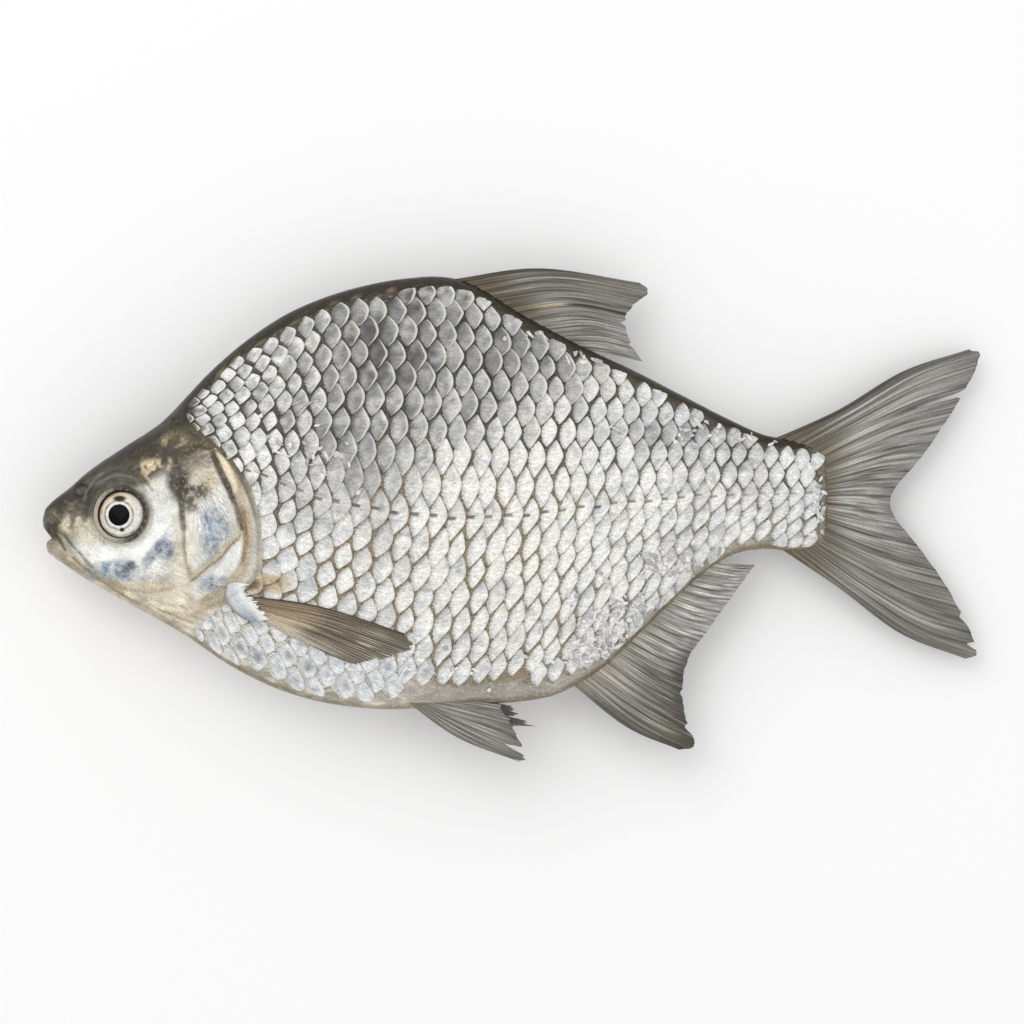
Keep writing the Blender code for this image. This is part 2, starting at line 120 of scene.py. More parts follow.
FINE_CREASES = [
    ([(-138.6, -3.3), (-136.5, -6.3), (-134.4, -9.9)], 0.5, 0.6),
    ([(-129.9, -11.4), (-127.8, -13.8), (-126.0, -16.0)], 0.35, 0.5),
    ([(-89.4, 18.2), (-86.1, 11.4), (-82.8, 3.2), (-81.0, -1.2), (-79.8, -4.0)], 0.7, 0.8),
    ([(-80.9, -5.2), (-88.5, -12.4), (-96.2, -18.5)], 0.5, 0.7),
    ([(-100.2, 14.7), (-98.8, 3.6), (-98.1, -4.8), (-96.3, -18.3)], 0.5, 0.8),
    ([(-79.8, -3.6), (-82.8, -14.1), (-88.0, -20.6), (-95.1, -25.2)], 0.45, 0.7),
    ([(-129.6, -10.8), (-120.4, -20.2), (-109.4, -22.6), (-101.4, -21.6)], 0.35, 0.8),
    ([(-98.4, 17.0), (-94.2, 19.8), (-89.6, 19.2)], 0.5, 0.8),
    ([(-124.4, 11.6), (-118.4, 13.4), (-112.6, 12.2)], 0.3, 0.7),
    ([(-133.2, 0.6), (-130.4, 4.6), (-127.2, 4.4)], 0.25, 0.6),
]
NOSTRIL = (-129.0, 8.1)
NOSTRIL_RADIUS = 2.0
NOSTRIL_DEPTH = 0.9
NOSTRIL_FLAP = (-130.2, 6.7)
NOSTRIL_FLAP_HEIGHT = 0.7
NOSTRIL_FLAP_WIDTH = 0.9
# Fold of skin over the eye: its radius, depth and half width
BROW_RADIUS = 10.4
BROW_DEPTH = 0.35
BROW_WIDTH = 0.6
WRINKLE_HEIGHT = 0.12
GAPE = [(-144.0, -2.6), (-141.2, -3.3), (-140.0, -4.9), (-138.3, -7.0), (-139.2, -7.5), (-140.0, -8.3),
        (-140.2, -9.6), (-144.0, -10.4)]
GAPE_HALF_DEPTH = 12.0

# Scale lattice. Columns count towards the tail and rows up from the lateral line.
LATERAL_LINE = [(-92.0, 19.0), (-86.4, 15.9), (-74.4, 11.7), (-64.2, 7.0), (-53.4, 3.9), (-42.0, 1.4),
                (-30.9, -0.3), (-12.6, -0.9), (5.7, 0.0), (25.5, 2.7), (45.6, 4.5), (64.8, 5.7), (80.4, 6.3),
                (96.0, 6.6)]
COLUMN_X = [(-8, -124.0), (0, -84.0), (5, -58.2), (12, -18.3), (20, 25.2), (27, 60.3), (33, 89.1),
            (38, 112.0)]
ROW_LEAN = [(-12, -21.0), (-8, -20.4), (-6, -18.9), (-5, -16.5), (-4, -13.8), (-3, -11.4), (-2, -9.3),
            (-1, -6.6), (0, -3.9), (1, -3.0), (2, -2.1), (3, -1.2), (4, 0.0), (12, 0.0)]
ROW_RISE = [(-12, -84.0), (-10, -70.8), (-9, -64.2), (-8, -57.6), (-7, -51.8), (-6, -46.2), (-5, -39.6),
            (-4, -31.8), (-3, -24.2), (-2, -16.8), (-1, -9.0), (0, 0.0), (1, 9.2), (2, 18.2), (3, 26.2),
            (4, 33.6), (5, 41.0), (6, 48.0), (7, 54.8), (8, 61.2), (9, 67.2), (10, 73.0), (12, 84.0)]
SQUEEZE_ABOVE = [(-92.0, 0.36), (-89.4, 0.42), (-77.4, 0.57), (-63.9, 0.79), (-51.9, 0.92), (-33.9, 1.0),
                 (-18.9, 1.0), (11.1, 0.91), (35.1, 0.81), (68.1, 0.67), (86.1, 0.6), (96.0, 0.56)]
SQUEEZE_BELOW = [(-92.0, 0.78), (-77.4, 0.85), (-63.9, 0.88), (-51.9, 0.93), (-33.9, 1.0), (-18.9, 1.0),
                 (11.1, 0.91), (35.1, 0.81), (68.1, 0.67), (86.1, 0.6), (96.0, 0.56)]
FIRST_COLUMN = -7
LAST_COLUMN = 37
FIRST_ROW = -11
LAST_ROW = 11
# x where the scales begin, as a table over y
SCALES_BEGIN = [(-60.0, -98.0), (-44.0, -97.0), (-34.0, -94.0), (-28.0, -88.0), (-24.0, -82.0),
                (-17.7, -76.2), (-10.2, -75.3), (-0.3, -75.9), (11.7, -80.1), (20.1, -89.1), (23.7, -92.7),
                (27.6, -96.6), (34.5, -98.1), (50.0, -99.0)]
SCALES_END_X = 93.2
BACK_STRIP = [(-141.3, 1.4), (-118.0, 2.2), (-98.0, 3.9), (-30.0, 3.5), (-10.0, 2.4), (96.0, 2.2)]
BELLY_STRIP = [(-141.3, 1.4), (-40.0, 2.4), (-28.0, 6.4), (6.0, 7.0), (18.0, 3.0), (40.0, 1.8), (96.0, 1.4)]
# Shape of one scale in lattice units, and its height and bed in millimetres
SCALE_REACH = 0.76
SCALE_TIP = 0.68
SCALE_ROUNDING = 1.7
SCALE_STEP = 0.34
SCALE_CROWN = 0.14
LENS_FRONT = -0.5
LENS_BOW = 0.9
LENS_POWER = 2.2
LENS_SLOPE = 0.12
SCALE_BED = 0.4
TAIL_ROOT_HALF = 1.4
SKIN_BED = 0.62
SCALE_LIP = 0.3
SCALE_SINK = 0.6
SCALE_JOG = 0.035
SCALE_GROWTH = 0.05
SCALE_TILT = 0.02
# The points of one scale: across from its covered edge to its rear, and up from its lower to its upper tip
SCALE_ACROSS = np.array([-0.35, 0.0, 0.1, 0.2, 0.36, 0.6, 0.84, 1.0, 1.0])[None, None, :]
SCALE_UP = np.array(
    [-1.0, -0.84, -0.66, -0.5, -0.33, -0.16, 0.0, 0.16, 0.33, 0.5, 0.66, 0.84, 1.0]
)[None, :, None]

# Fins: lines across the rays, from the root to the free margin, each from the first ray to the last
DORSAL_FIN = [
    [(-15.6, 71.0), (-10.5, 68.6), (-4.5, 65.0), (1.5, 61.0), (8.0, 57.4), (15.0, 53.4), (22.2, 49.6)],
    [(8.0, 74.0), (12.0, 71.6), (15.2, 67.4), (17.8, 63.2), (20.6, 58.8), (25.0, 53.8), (30.6, 47.9)],
    [(38.1, 69.8), (41.4, 67.5), (37.4, 63.6), (34.6, 60.2), (34.0, 56.4), (35.6, 51.8), (38.9, 46.1)],
]
ANAL_FIN = [
    [(18.9, -51.6), (23.0, -49.4), (28.2, -45.8), (33.2, -41.0), (38.6, -35.6), (44.4, -29.6),
     (50.0, -24.0), (56.0, -18.6), (62.0, -13.9)],
    [(34.0, -63.6), (38.4, -60.8), (40.6, -54.4), (42.8, -46.8), (46.4, -39.6), (51.6, -32.8),
     (57.0, -26.2), (62.8, -19.8), (67.4, -14.8)],
    [(50.0, -70.6), (55.4, -69.6), (52.2, -60.9), (51.2, -51.0), (53.4, -42.4), (58.6, -34.8),
     (64.0, -27.4), (69.2, -20.2), (72.9, -15.0)],
]
TAIL_FIN = [
    [(79.5, 23.4), (86.0, 21.6), (90.0, 17.6), (92.4, 11.5), (93.0, 5.0), (92.2, -1.0), (90.0, -6.0),
     (85.6, -9.0), (80.5, -10.2)],
    [(97.8, 31.6), (103.0, 30.8), (105.0, 25.2), (103.0, 14.8), (99.9, 4.9), (102.4, -4.6), (104.0, -13.6),
     (103.6, -22.6), (97.6, -21.7)],
    [(117.5, 43.3), (121.8, 41.4), (120.5, 32.2), (113.8, 17.6), (106.8, 4.5), (112.6, -7.6),
     (118.4, -20.0), (122.4, -34.8), (116.6, -35.6)],
    [(137.5, 50.0), (141.3, 48.2), (136.2, 36.8), (124.5, 19.0), (113.7, 4.1), (122.6, -9.8),
     (132.6, -24.0), (140.4, -41.0), (136.6, -43.4)],
]
PELVIC_FIN = [
    [(-30.8, -56.6), (-29.3, -56.1), (-27.9, -55.6), (-26.4, -55.1)],
    [(-16.4, -66.8), (-13.2, -65.0), (-12.8, -60.4), (-13.0, -55.8)],
    [(2.0, -74.0), (5.3, -73.4), (1.8, -64.8), (-3.6, -56.9)],
]
FAR_PELVIC_FIN = [
    [(-30.6, -56.2), (-28.0, -55.4), (-25.6, -54.6)],
    [(-13.2, -62.2), (-12.6, -58.6), (-12.0, -55.2)],
    [(7.4, -63.6), (3.6, -61.2), (-0.4, -57.4)],
]
PECTORAL_FIN = [
    [(-80.4, -23.8), (-79.6, -25.2), (-78.8, -26.6), (-78.0, -28.0), (-77.2, -29.4), (-76.4, -30.8)],
    [(-57.0, -27.3), (-54.6, -30.0), (-56.6, -32.6), (-59.6, -34.8), (-62.6, -36.4), (-66.0, -36.4)],
    [(-32.4, -35.2), (-28.8, -38.8), (-32.4, -41.4), (-40.0, -43.2), (-47.0, -44.6), (-55.0, -41.6)],
]
# Soft frayed flap of skin over the root of each pectoral fin
ROOT_FLAP = [
    [(-85.2, -20.7), (-85.9, -24.0), (-84.4, -27.3), (-81.6, -30.0), (-77.8, -32.2)],
    [(-82.4, -20.1), (-82.2, -23.6), (-80.3, -26.4), (-77.9, -28.9), (-75.6, -31.6)],
    [(-78.4, -20.6), (-77.8, -23.2), (-75.4, -25.4), (-73.6, -27.8), (-72.4, -31.0)],
]
# Loose flakes: corners of each, half its thickness, the last x, and patches as (middle, radii, number)
FLAKE_CORNERS = 7
FLAKE_HALF = 0.1
FLAKES_END_X = 98.0
FLAKE_PATCHES = [
    ((36.0, -33.0), (16.0, 10.0), 120), ((24.0, -42.0), (9.0, 5.0), 50), ((52.0, -15.0), (14.0, 5.0), 60),
    ((91.5, 5.0), (2.4, 12.0), 26), ((7.0, 55.0), (7.0, 2.2), 16), ((22.0, 47.6), (9.0, 2.0), 16),
    ((60.0, 24.0), (24.0, 3.0), 40), ((-60.0, 20.0), (16.0, 12.0), 30), ((-30.0, -46.0), (24.0, 6.0), 30),
]
# Columns of points from one fin ray to the next
RAY_COLUMNS = 8
# How softly a spot and a stripe of colour fade, as shares of their size, and the grid of random values
SPOT_FADE = (0.55, 1.3)
STRIPE_FADE = (0.45, 1.35)
CLOUD_CELLS = 64
CLOUD_SHIFT = 500

# Floor, light and camera
FLOOR_REACH = 3.0
FLOOR_Z = -0.0002
FLOOR_WHITE = (0.99, 0.99, 0.99, 1)
STUDIO_WHITE = (1.0, 1.0, 1.0, 1)
STUDIO_STRENGTH = 0.72
# Lamps: (name, place, size, watts), all aimed at the middle of the fish
LAMPS = [("key", (-0.7, 0.9, 1.3), 1.6, 9.5), ("fill", (0.9, -0.5, 1.4), 1.8, 4.0)]
CAMERA_PLACE = (-0.0003, 0.0009, 2.018)
CAMERA_LENS = 234.4
SENSOR_WIDTH = 36.0


# Curves and masks over the plan

def bend(t, step, start, slope, end, end_slope):
    """The smooth curve between two points with their slopes, at a share t of the step between them."""
    return (
        (1 + 2 * t) * (1 - t) ** 2 * start
        + t * (1 - t) ** 2 * step * slope
        + t * t * (3 - 2 * t) * end
        + t * t * (t - 1) * step * end_slope
    )


def along(table, x):
    """The smooth curve through a table's points, read at x."""
    xs, values = np.array(table, float).T
    x = np.clip(x, xs[0], xs[-1])
    slopes = np.gradient(values, xs)
    i = np.clip(np.searchsorted(xs, x) - 1, 0, len(xs) - 2)
    step = xs[i + 1] - xs[i]
    return bend((x - xs[i]) / step, step, values[i], slopes[i], values[i + 1], slopes[i + 1])


def straight(table, x):
    """The straight-sided line through a table's points, read at x."""
    return np.interp(x, *np.array(table, float).T)


def curve_point(points, share):
    """A point of the smooth plan curve through the given points, at a share of its way."""
    ways = np.linspace(0, 1, len(points))
    xs, ys = np.array(points, float).T
    return np.array([along(list(zip(ways, xs)), share), along(list(zip(ways, ys)), share)])


def fan_point(lines, across, out):
    """Plan point of a fin: across runs from the first ray to the last, out from the root to the margin."""
    points = np.array([curve_point(line, across) for line in lines])
    slopes = np.gradient(points, axis=0)
    i = np.minimum((out * (len(lines) - 1)).astype(int), len(lines) - 2)
    each = np.arange(len(out))
    ends = (values[k, :, each].T for k in (i, i + 1) for values in (points, slopes))
    return bend(out * (len(lines) - 1) - i, 1.0, *ends)


def smooth_step(value, low, high):
    """0 below low, rising smoothly to 1 above high."""
    t = np.clip((value - low) / (high - low), 0, 1)
    return t * t * (3 - 2 * t)


def fall(value, low, high):
    """1 below low, falling smoothly to 0 above high."""
    return 1 - smooth_step(value, low, high)


def distance_to(points, x, y):
    """Distance from each (x, y) to a line of points. It is negative on the tail's side of the line."""
    line_x, line_y = curve_point(points, np.linspace(0, 1, 4 * len(points)))
    best = np.full(np.shape(x), np.inf)
    for ax, ay, bx, by in zip(line_x[:-1], line_y[:-1], line_x[1:], line_y[1:]):
        dx, dy = bx - ax, by - ay
        share = np.clip(((x - ax) * dx + (y - ay) * dy) / (dx * dx + dy * dy), 0, 1)
        away = np.hypot(x - ax - share * dx, y - ay - share * dy)
        side = np.sign((x - ax) * dy - (y - ay) * dx)
        best = np.where(away < np.abs(best), np.where(side < 0, -away, away), best)
    return best


def spot(x, y, centre, radii):
    """1 in the middle of an oval patch, fading to 0 outside it."""
    return fall(np.hypot((x - centre[0]) / radii[0], (y - centre[1]) / radii[1]), *SPOT_FADE)


def stripe(x, y, points, width):
    """1 on a line of points, fading to 0 beyond its half width."""
    return fall(np.abs(distance_to(points, x, y)) / width, *STRIPE_FADE)


def cloud(x, y, size, seed):
    """Smooth random values from 0 to 1 over the plan, with blotches of a size in millimetres."""
    table = np.random.default_rng(seed).random((CLOUD_CELLS, CLOUD_CELLS))
    grid_x, grid_y = np.asarray(x) / size + CLOUD_SHIFT, np.asarray(y) / size + CLOUD_SHIFT
    left, low = np.floor(grid_x).astype(int), np.floor(grid_y).astype(int)
    share_x, share_y = smooth_step(grid_x - left, 0, 1), smooth_step(grid_y - low, 0, 1)
    corner = [[table[(left + i) % CLOUD_CELLS, (low + j) % CLOUD_CELLS] for j in (0, 1)] for i in (0, 1)]
    lower, upper = (corner[0][j] + (corner[1][j] - corner[0][j]) * share_x for j in (0, 1))
    return lower + (upper - lower) * share_y


# Form of the body

def carve(height, creases, x, y):
    """A height with creases sunk into it."""
    for points, depth, width in creases:
        height = height - depth * np.exp(-((distance_to(points, x, y) / width) ** 2))
    return height


def plain_relief(x, y):
    """How far the bones of the head stand out of the plain flank, or sink into it."""
    inside = distance_to(GILL_EDGE, x, y)
    step = smooth_step(inside, -GILL_STEP_WIDTH, 0.0)
    height = carve(GILL_STEP * step * np.exp(-np.maximum(inside, 0.0) / GILL_FADE), CREASES, x, y)
    ring = (np.hypot(x - EYE[0], y - EYE[1]) - SOCKET_RIM) / SOCKET_RIM_WIDTH
    height = height + SOCKET_RIM_HEIGHT * np.exp(-(ring ** 2))
    pit = np.hypot(x - NOSTRIL[0], y - NOSTRIL[1]) / NOSTRIL_RADIUS
    return height - NOSTRIL_DEPTH * np.exp(-(pit ** 2))


def fine_relief(x, y):
    """Creases, pits and folds that are finer than the head's main bones."""
    height = carve(np.zeros(np.shape(x)), FINE_CREASES, x, y)
    away = np.hypot(x - EYE[0], y - EYE[1])
    height -= PIT_DEPTH * fall(away, *PIT_WALL)
    brow = BROW_DEPTH * np.exp(-(((away - BROW_RADIUS) / BROW_WIDTH) ** 2))
    height -= brow * smooth_step(y - EYE[1], 0.0, 6.0)
    flap = np.hypot(x - NOSTRIL_FLAP[0], y - NOSTRIL_FLAP[1]) / NOSTRIL_FLAP_WIDTH
    height += NOSTRIL_FLAP_HEIGHT * np.exp(-(flap ** 2))
    wrinkles = cloud(x, y, 2.4, 3) + 0.5 * cloud(x, y, 1.1, 4) - 0.75
    return height + WRINKLE_HEIGHT * wrinkles


def flank_share(x, y):
    """0 on the ridge of the flank, 1 on the edge of the back, -1 on the edge of the belly."""
    ridge = along(RIDGE_LINE, x)
    up = along(BACK_LINE, x) - ridge
    down = ridge - along(BELLY_LINE, x)
    return np.clip((y - ridge) / np.maximum(np.where(y > ridge, up, down), 1e-6), -1, 1)


def edge_fade(x, share):
    """0 on the flank's edge and at the snout, where no relief may show, and 1 elsewhere."""
    return smooth_step(1 - np.abs(share), 0.0, EDGE_FADE) * smooth_step(x, SNOUT_X, SNOUT_X + SNOUT_FADE)


def half_thickness(x, y):
    """How far the flank stands from the middle plane at (x, y)."""
    share = flank_share(x, y)
    power = np.where(share > 0, along(BACK_SHARPNESS, x), along(BELLY_SHARPNESS, x))
    smooth = along(HALF_WIDTH, x) * (1 - share ** 2) ** power
    return smooth + plain_relief(x, y) * edge_fade(x, share)


def scaled_part(x, y):
    """1 where the flank carries scales, 0 on the bare head and fins."""
    begin = smooth_step(x - along(SCALES_BEGIN, y), -0.6, 1.2)
    return begin * fall(x, SCALES_END_X - 1.5, SCALES_END_X + 1)


def skin_height(x, y):
    """The flank's height with its fine creases, and lowered where the scales lie on it."""
    share = flank_share(x, y)
    fade = edge_fade(x, share)
    bare = half_thickness(x, y) + fine_relief(x, y) * fade
    return np.maximum(bare - SKIN_BED * scaled_part(x, y) * fade, 0.0)


def gill_column():
    """x of the gill cover's edge as a table over y, carried on to the back and to the belly."""
    edge = [THROAT_BELOW_GILL, *reversed(GILL_EDGE), NAPE_ABOVE_GILL]
    return [(y, x) for x, y in edge]


def stations():
    """Stations along the ridge: close at the snout, two on the gill cover's edge, wider on the trunk."""
    edge_x = along(gill_column(), along(RIDGE_LINE, GILL_EDGE[3][0]))
    head = SNOUT_X + (edge_x - SNOUT_X) * np.linspace(0, 1, HEAD_STATIONS + 1) ** HEAD_CROWDING
    trunk = np.linspace(edge_x + 0.4, FLESH_END_X, TRUNK_STATIONS + 1)
    return np.concatenate([head, trunk])


def flank_point(x, share):
    """y of the point at a share of the way from the flank's ridge to the edge of the back or belly."""
    ridge = along(RIDGE_LINE, x)
    return ridge + share * np.where(share > 0, along(BACK_LINE, x) - ridge, ridge - along(BELLY_LINE, x))


def bow_stations(xs, share):
    """Bends the stations near the gill cover so that one of them runs along its edge."""
    edge_x = xs[HEAD_STATIONS]
    bowed = np.full(share.shape, edge_x)
    for _ in range(BOW_ROUNDS):
        bowed = 0.5 * bowed + 0.5 * along(gill_column(), flank_point(bowed, share))
    return bowed - edge_x


# Colours, given as they look (0 to 255) and kept as light

def light(colour):
    """Linear light of a colour that is given as it looks."""
    look = np.asarray(colour, float) / 255
    return np.where(look <= 0.04045, look / 12.92, ((look + 0.055) / 1.055) ** 2.4)


def wash(under, colour, mask):
    """Lays a colour over others, as strongly as the mask says."""
    return under + (np.asarray(colour, float) - under) * np.clip(mask, 0, 1)[..., None]


def washes(under, layers):
    """Lays several colours over others in turn: (colour, mask)."""
    for colour, mask in layers:
        under = wash(under, colour, mask)
    return under


def plain(colour, shape):
    """One colour over a whole grid of points."""
    return np.full(shape + (3,), colour, float)


SILVER = (206, 203, 192)
HEAD_BROWN = (50, 44, 32)
# Washes of colour over the head: (kind, place, size, colour, strength, flecks)
HEAD_WASHES = [
    ("spot", (-112.0, -26.0), (24.0, 8.0), (222, 210, 186), 0.8, 0.1),
    ("stripe", [(-139.5, -9.5), (-129.9, -17.1), (-122.4, -22.6), (-111.9, -28.5), (-101.4, -33.5)], 3.6,
     (196, 180, 152), 0.85, 0.1),
    ("spot", (-98.5, 29.0), (10.0, 11.0), (52, 46, 34), 0.95, 0.1),
    ("spot", (-110.0, 17.4), (15.0, 5.6), (68, 61, 47), 0.85, 0.2),
    ("spot", (-97.0, 21.5), (8.0, 4.0), (66, 58, 43), 0.85, 0.1),
    ("stripe", [(-103.0, 23.0), (-94.5, 23.6), (-86.3, 20.8)], 3.0, (94, 84, 64), 0.9, 0.2),
    ("spot", (-122.0, 12.0), (10.0, 4.6), (92, 87, 75), 0.9, 0.0),
    ("spot", (-135.6, 2.4), (9.0, 8.0), (62, 57, 48), 0.95, 0.0),
    ("spot", (-130.4, -6.6), (6.5, 4.5), (150, 142, 126), 0.7, 0.3),
    ("spot", (-138.4, -0.6), (2.6, 2.8), (132, 124, 108), 0.6, 0.6),
    ("stripe", [(-131.0, 6.2), (-131.2, 8.0), (-129.6, 9.2), (-127.4, 8.6), (-127.0, 7.0), (-128.8, 5.8),
                (-131.0, 6.2)], 0.5, (30, 27, 21), 0.95, 0.0),
    ("stripe", [(-129.8, 7.2), (-128.6, 7.7)], 1.0, (98, 91, 76), 0.9, 0.0),
    ("stripe", [(-134.0, 4.0), (-132.4, 3.2), (-130.6, 4.0)], 0.5, (132, 124, 108), 0.6, 0.2),
    ("stripe", [(-134.6, -14.2), (-126.0, -17.4), (-117.0, -21.6)], 1.1, (172, 154, 126), 0.7, 0.1),
    ("stripe", [(-137.8, -10.6), (-131.0, -14.4), (-124.0, -19.2)], 0.5, (232, 220, 196), 0.7, 0.2),
    ("stripe", [(-137.6, 0.4), (-134.6, -2.4), (-133.0, -5.4)], 0.4, (176, 168, 150), 0.6, 0.2),
    ("stripe", [(-136.4, -5.6), (-134.2, -8.2), (-132.0, -11.0)], 0.5, (190, 182, 164), 0.6, 0.2),
    ("stripe", [(-134.6, -6.0), (-132.4, -8.8), (-130.2, -11.6)], 0.4, (82, 74, 60), 0.75, 0.1),
    ("stripe", [(-104.6, 6.5), (-103.6, 1.5), (-104.2, -4.0), (-107.6, -9.9), (-114.9, -13.8),
                (-122.9, -12.8), (-127.0, -9.8)], 4.6, (255, 255, 250), 1.0, 0.03),
    ("spot", (-105.4, 8.0), (3.6, 4.6), (236, 232, 220), 0.9, 0.4),
    ("spot", (-120.0, -16.6), (9.5, 3.0), (122, 140, 160), 0.9, 0.6),
    ("spot", (-108.6, -16.8), (5.6, 3.4), (252, 252, 248), 0.9, 0.5),
    ("spot", (-107.4, -21.2), (5.0, 1.3), (242, 226, 190), 0.85, 0.6),
    ("spot", (-113.2, -15.4), (2.4, 1.8), (96, 104, 112), 0.7, 0.8),
    ("spot", (-105.2, -10.6), (4.0, 2.8), (98, 114, 134), 0.9, 0.5),
    ("stripe", [(-110.0, -15.0), (-101.4, -4.0)], 1.6, (150, 162, 174), 0.6, 0.6),
    ("spot", (-107.0, 13.8), (5.6, 3.8), (238, 216, 176), 0.95, 1.0),
    ("spot", (-102.0, 22.0), (4.6, 2.2), (166, 144, 106), 0.9, 1.0),
    ("spot", (-130.8, -2.4), (5.0, 4.6), (236, 222, 192), 0.95, 0.6),
    ("spot", (-126.0, -6.6), (5.4, 3.4), (240, 232, 210), 0.85, 0.5),
    ("stripe", [(-99.6, -2.0), (-98.7, -7.5), (-99.0, -18.0), (-98.4, -27.5)], 2.4,
     (236, 226, 204), 0.85, 0.1),
    ("spot", (-90.3, 0.0), (8.5, 13.0), (238, 238, 232), 0.9, 0.1),
    ("spot", (-94.8, -8.0), (3.2, 8.5), (250, 246, 232), 0.9, 0.1),
    ("spot", (-89.1, -3.6), (4.4, 6.8), (134, 154, 178), 0.75, 0.5),
    ("spot", (-91.5, -11.0), (3.0, 5.0), (160, 172, 186), 0.5, 0.6),
    ("spot", (-92.8, 11.4), (5.8, 5.2), (236, 216, 178), 0.95, 0.8),
    ("spot", (-93.8, 16.8), (5.0, 2.8), (142, 132, 114), 0.9, 0.4),
    ("spot", (-95.4, 7.0), (4.6, 2.6), (84, 76, 62), 0.8, 0.9),
    ("spot", (-99.8, 10.2), (3.8, 6.2), (62, 57, 49), 0.95, 0.25),
    ("spot", (-95.2, 5.2), (5.0, 4.0), (78, 71, 60), 0.75, 0.6),
    ("stripe", [(-97.6, 15.6), (-93.6, 17.6), (-89.6, 16.6)], 1.2, (128, 118, 98), 0.7, 0.3),
    ("stripe", [(-100.2, 8.0), (-98.8, 2.0), (-98.2, -4.0)], 1.0, (82, 74, 60), 0.85, 0.3),
    ("stripe", [(-98.2, -4.0), (-97.8, -12.0), (-96.4, -18.0)], 0.5, (140, 126, 100), 0.8, 0.1),
    ("stripe", [(-81.9, -10.2), (-86.6, -17.0), (-93.9, -22.6)], 2.6, (246, 247, 242), 0.95, 0.1),
    ("spot", (-88.8, -20.2), (4.2, 2.2), (140, 152, 164), 0.8, 0.7),
    ("stripe", [(-81.0, -5.0), (-88.5, -12.6), (-96.3, -18.8)], 1.0, (206, 190, 160), 0.7, 0.2),
    ("stripe", [(-80.8, -6.0), (-88.4, -13.6), (-96.0, -19.8)], 0.35, (124, 108, 80), 0.85, 0.1),
    ("stripe", [(-132.0, -13.2), (-122.0, -20.5), (-112.0, -26.9)], 0.4, (128, 112, 88), 0.75, 0.2),
    ("stripe", [(-112.0, -24.6), (-104.0, -29.0), (-97.0, -31.8)], 0.4, (118, 100, 76), 0.75, 0.2),
    ("stripe", [(-116.0, -23.4), (-106.0, -27.2), (-98.0, -29.0)], 0.7, (255, 244, 220), 0.9, 0.4),
    ("stripe", [(-109.6, -26.6), (-101.0, -31.4), (-94.0, -33.6)], 0.5, (255, 244, 220), 0.8, 0.5),
    ("stripe", [(-99.0, -27.0), (-96.4, -29.6), (-92.4, -31.4)], 0.4, (122, 104, 78), 0.7, 0.2),
    ("stripe", [(-124.6, 9.2), (-119.5, 11.8), (-113.5, 11.0), (-109.0, 6.8)], 0.4,
     (150, 146, 134), 0.5, 0.1),
    ("stripe", [(-125.6, 10.2), (-119.8, 13.1), (-112.6, 12.4), (-107.6, 7.6)], 0.5, (60, 55, 46), 0.4, 0.1),
    ("stripe", [(-128.6, 4.4), (-127.0, 8.2), (-123.0, 12.6)], 0.5, (168, 163, 150), 0.5, 0.3),
    ("stripe", [(-89.6, 19.4), (-84.3, 12.4), (-80.6, 3.0), (-79.0, -4.5), (-79.8, -13.5), (-84.2, -20.7),
                (-92.0, -26.0)], 1.7, (186, 168, 136), 0.85, 0.25),
    ("stripe", [(-80.6, 2.0), (-79.4, -6.0), (-80.4, -14.0)], 0.8, (126, 106, 76), 0.7, 0.3),
    ("stripe", [(-87.6, 19.0), (-84.9, 13.4), (-82.7, 8.0)], 1.1, (255, 240, 208), 0.95, 0.1),
    ("stripe", [(-89.4, 17.8), (-85.8, 10.6), (-83.3, 4.8)], 1.0, (64, 56, 43), 0.9, 0.15),
    ("stripe", [(-83.3, 4.8), (-81.9, 0.6), (-80.6, -4.0)], 0.8, (88, 76, 58), 0.75, 0.4),
    ("stripe", [(-98.6, 17.2), (-94.0, 20.2), (-89.0, 19.6)], 1.0, (74, 64, 48), 0.9, 0.2),
    ("stripe", [(-82.0, -22.4), (-90.3, -27.4), (-100.5, -31.2)], 2.2, (210, 197, 170), 0.85, 0.2),
    ("stripe", [(-88.0, -27.6), (-94.5, -30.2), (-99.0, -31.0)], 0.6, (244, 234, 212), 0.9, 0.5),
    ("stripe", [(-139.4, -8.8), (-135.0, -12.4)], 1.4, (158, 149, 132), 0.85, 0.1),
    ("stripe", [(-140.9, -1.4), (-140.3, -4.4), (-138.5, -6.4)], 1.0, (76, 69, 57), 0.85, 0.1),
    ("stripe", [(-138.6, -4.3), (-136.5, -6.8), (-134.4, -10.2)], 0.5, (84, 75, 60), 0.8, 0.1),
    ("stripe", [(-129.9, -11.4), (-126.3, -15.6)], 0.5, (112, 100, 82), 0.6, 0.1),
    ("stripe", [(-128.0, -13.5), (-120.4, -20.8), (-109.4, -22.8), (-101.4, -21.8)], 0.6,
     (164, 148, 122), 0.5, 0.3),
]
PLATE_FAN = (-95.6, 12.4)
# Skin of the seams, the back, the belly and round the eye. The seams' dark tones are partly the skin's own
# brown and partly painted shade of the gaps between the scales
SEAM_BELOW = (146, 130, 104)
SEAM_BELOW_REAR = (156, 150, 137)
SEAM_ABOVE = (60, 52, 40)
SEAM_ABOVE_REAR = (88, 81, 68)
SEAM_NAPE = (74, 64, 49)
SEAM_BEHIND_GILL = (226, 221, 208)
SEAM_BELLY = (224, 222, 213)
GILL_SHADOW = (96, 82, 60)
BACK_BROWN = (44, 38, 27)
BELLY_EDGE = (122, 106, 80)
BELLY_SKIN = (176, 171, 160)
FIN_BASE_TAN = (186, 166, 132)
# Round the eye: grey, darker above, and a dark line of painted shade where the lid meets the skin
ORBIT_GREY = (168, 164, 152)
ORBIT_SHADE = (98, 94, 84)
ORBIT_LINE_SHADE = (84, 79, 68)
BACK_MOTTLE = (150, 133, 101)
BELLY_PEARL = (246, 236, 212)
TAIL_ROOT = (128, 120, 102)
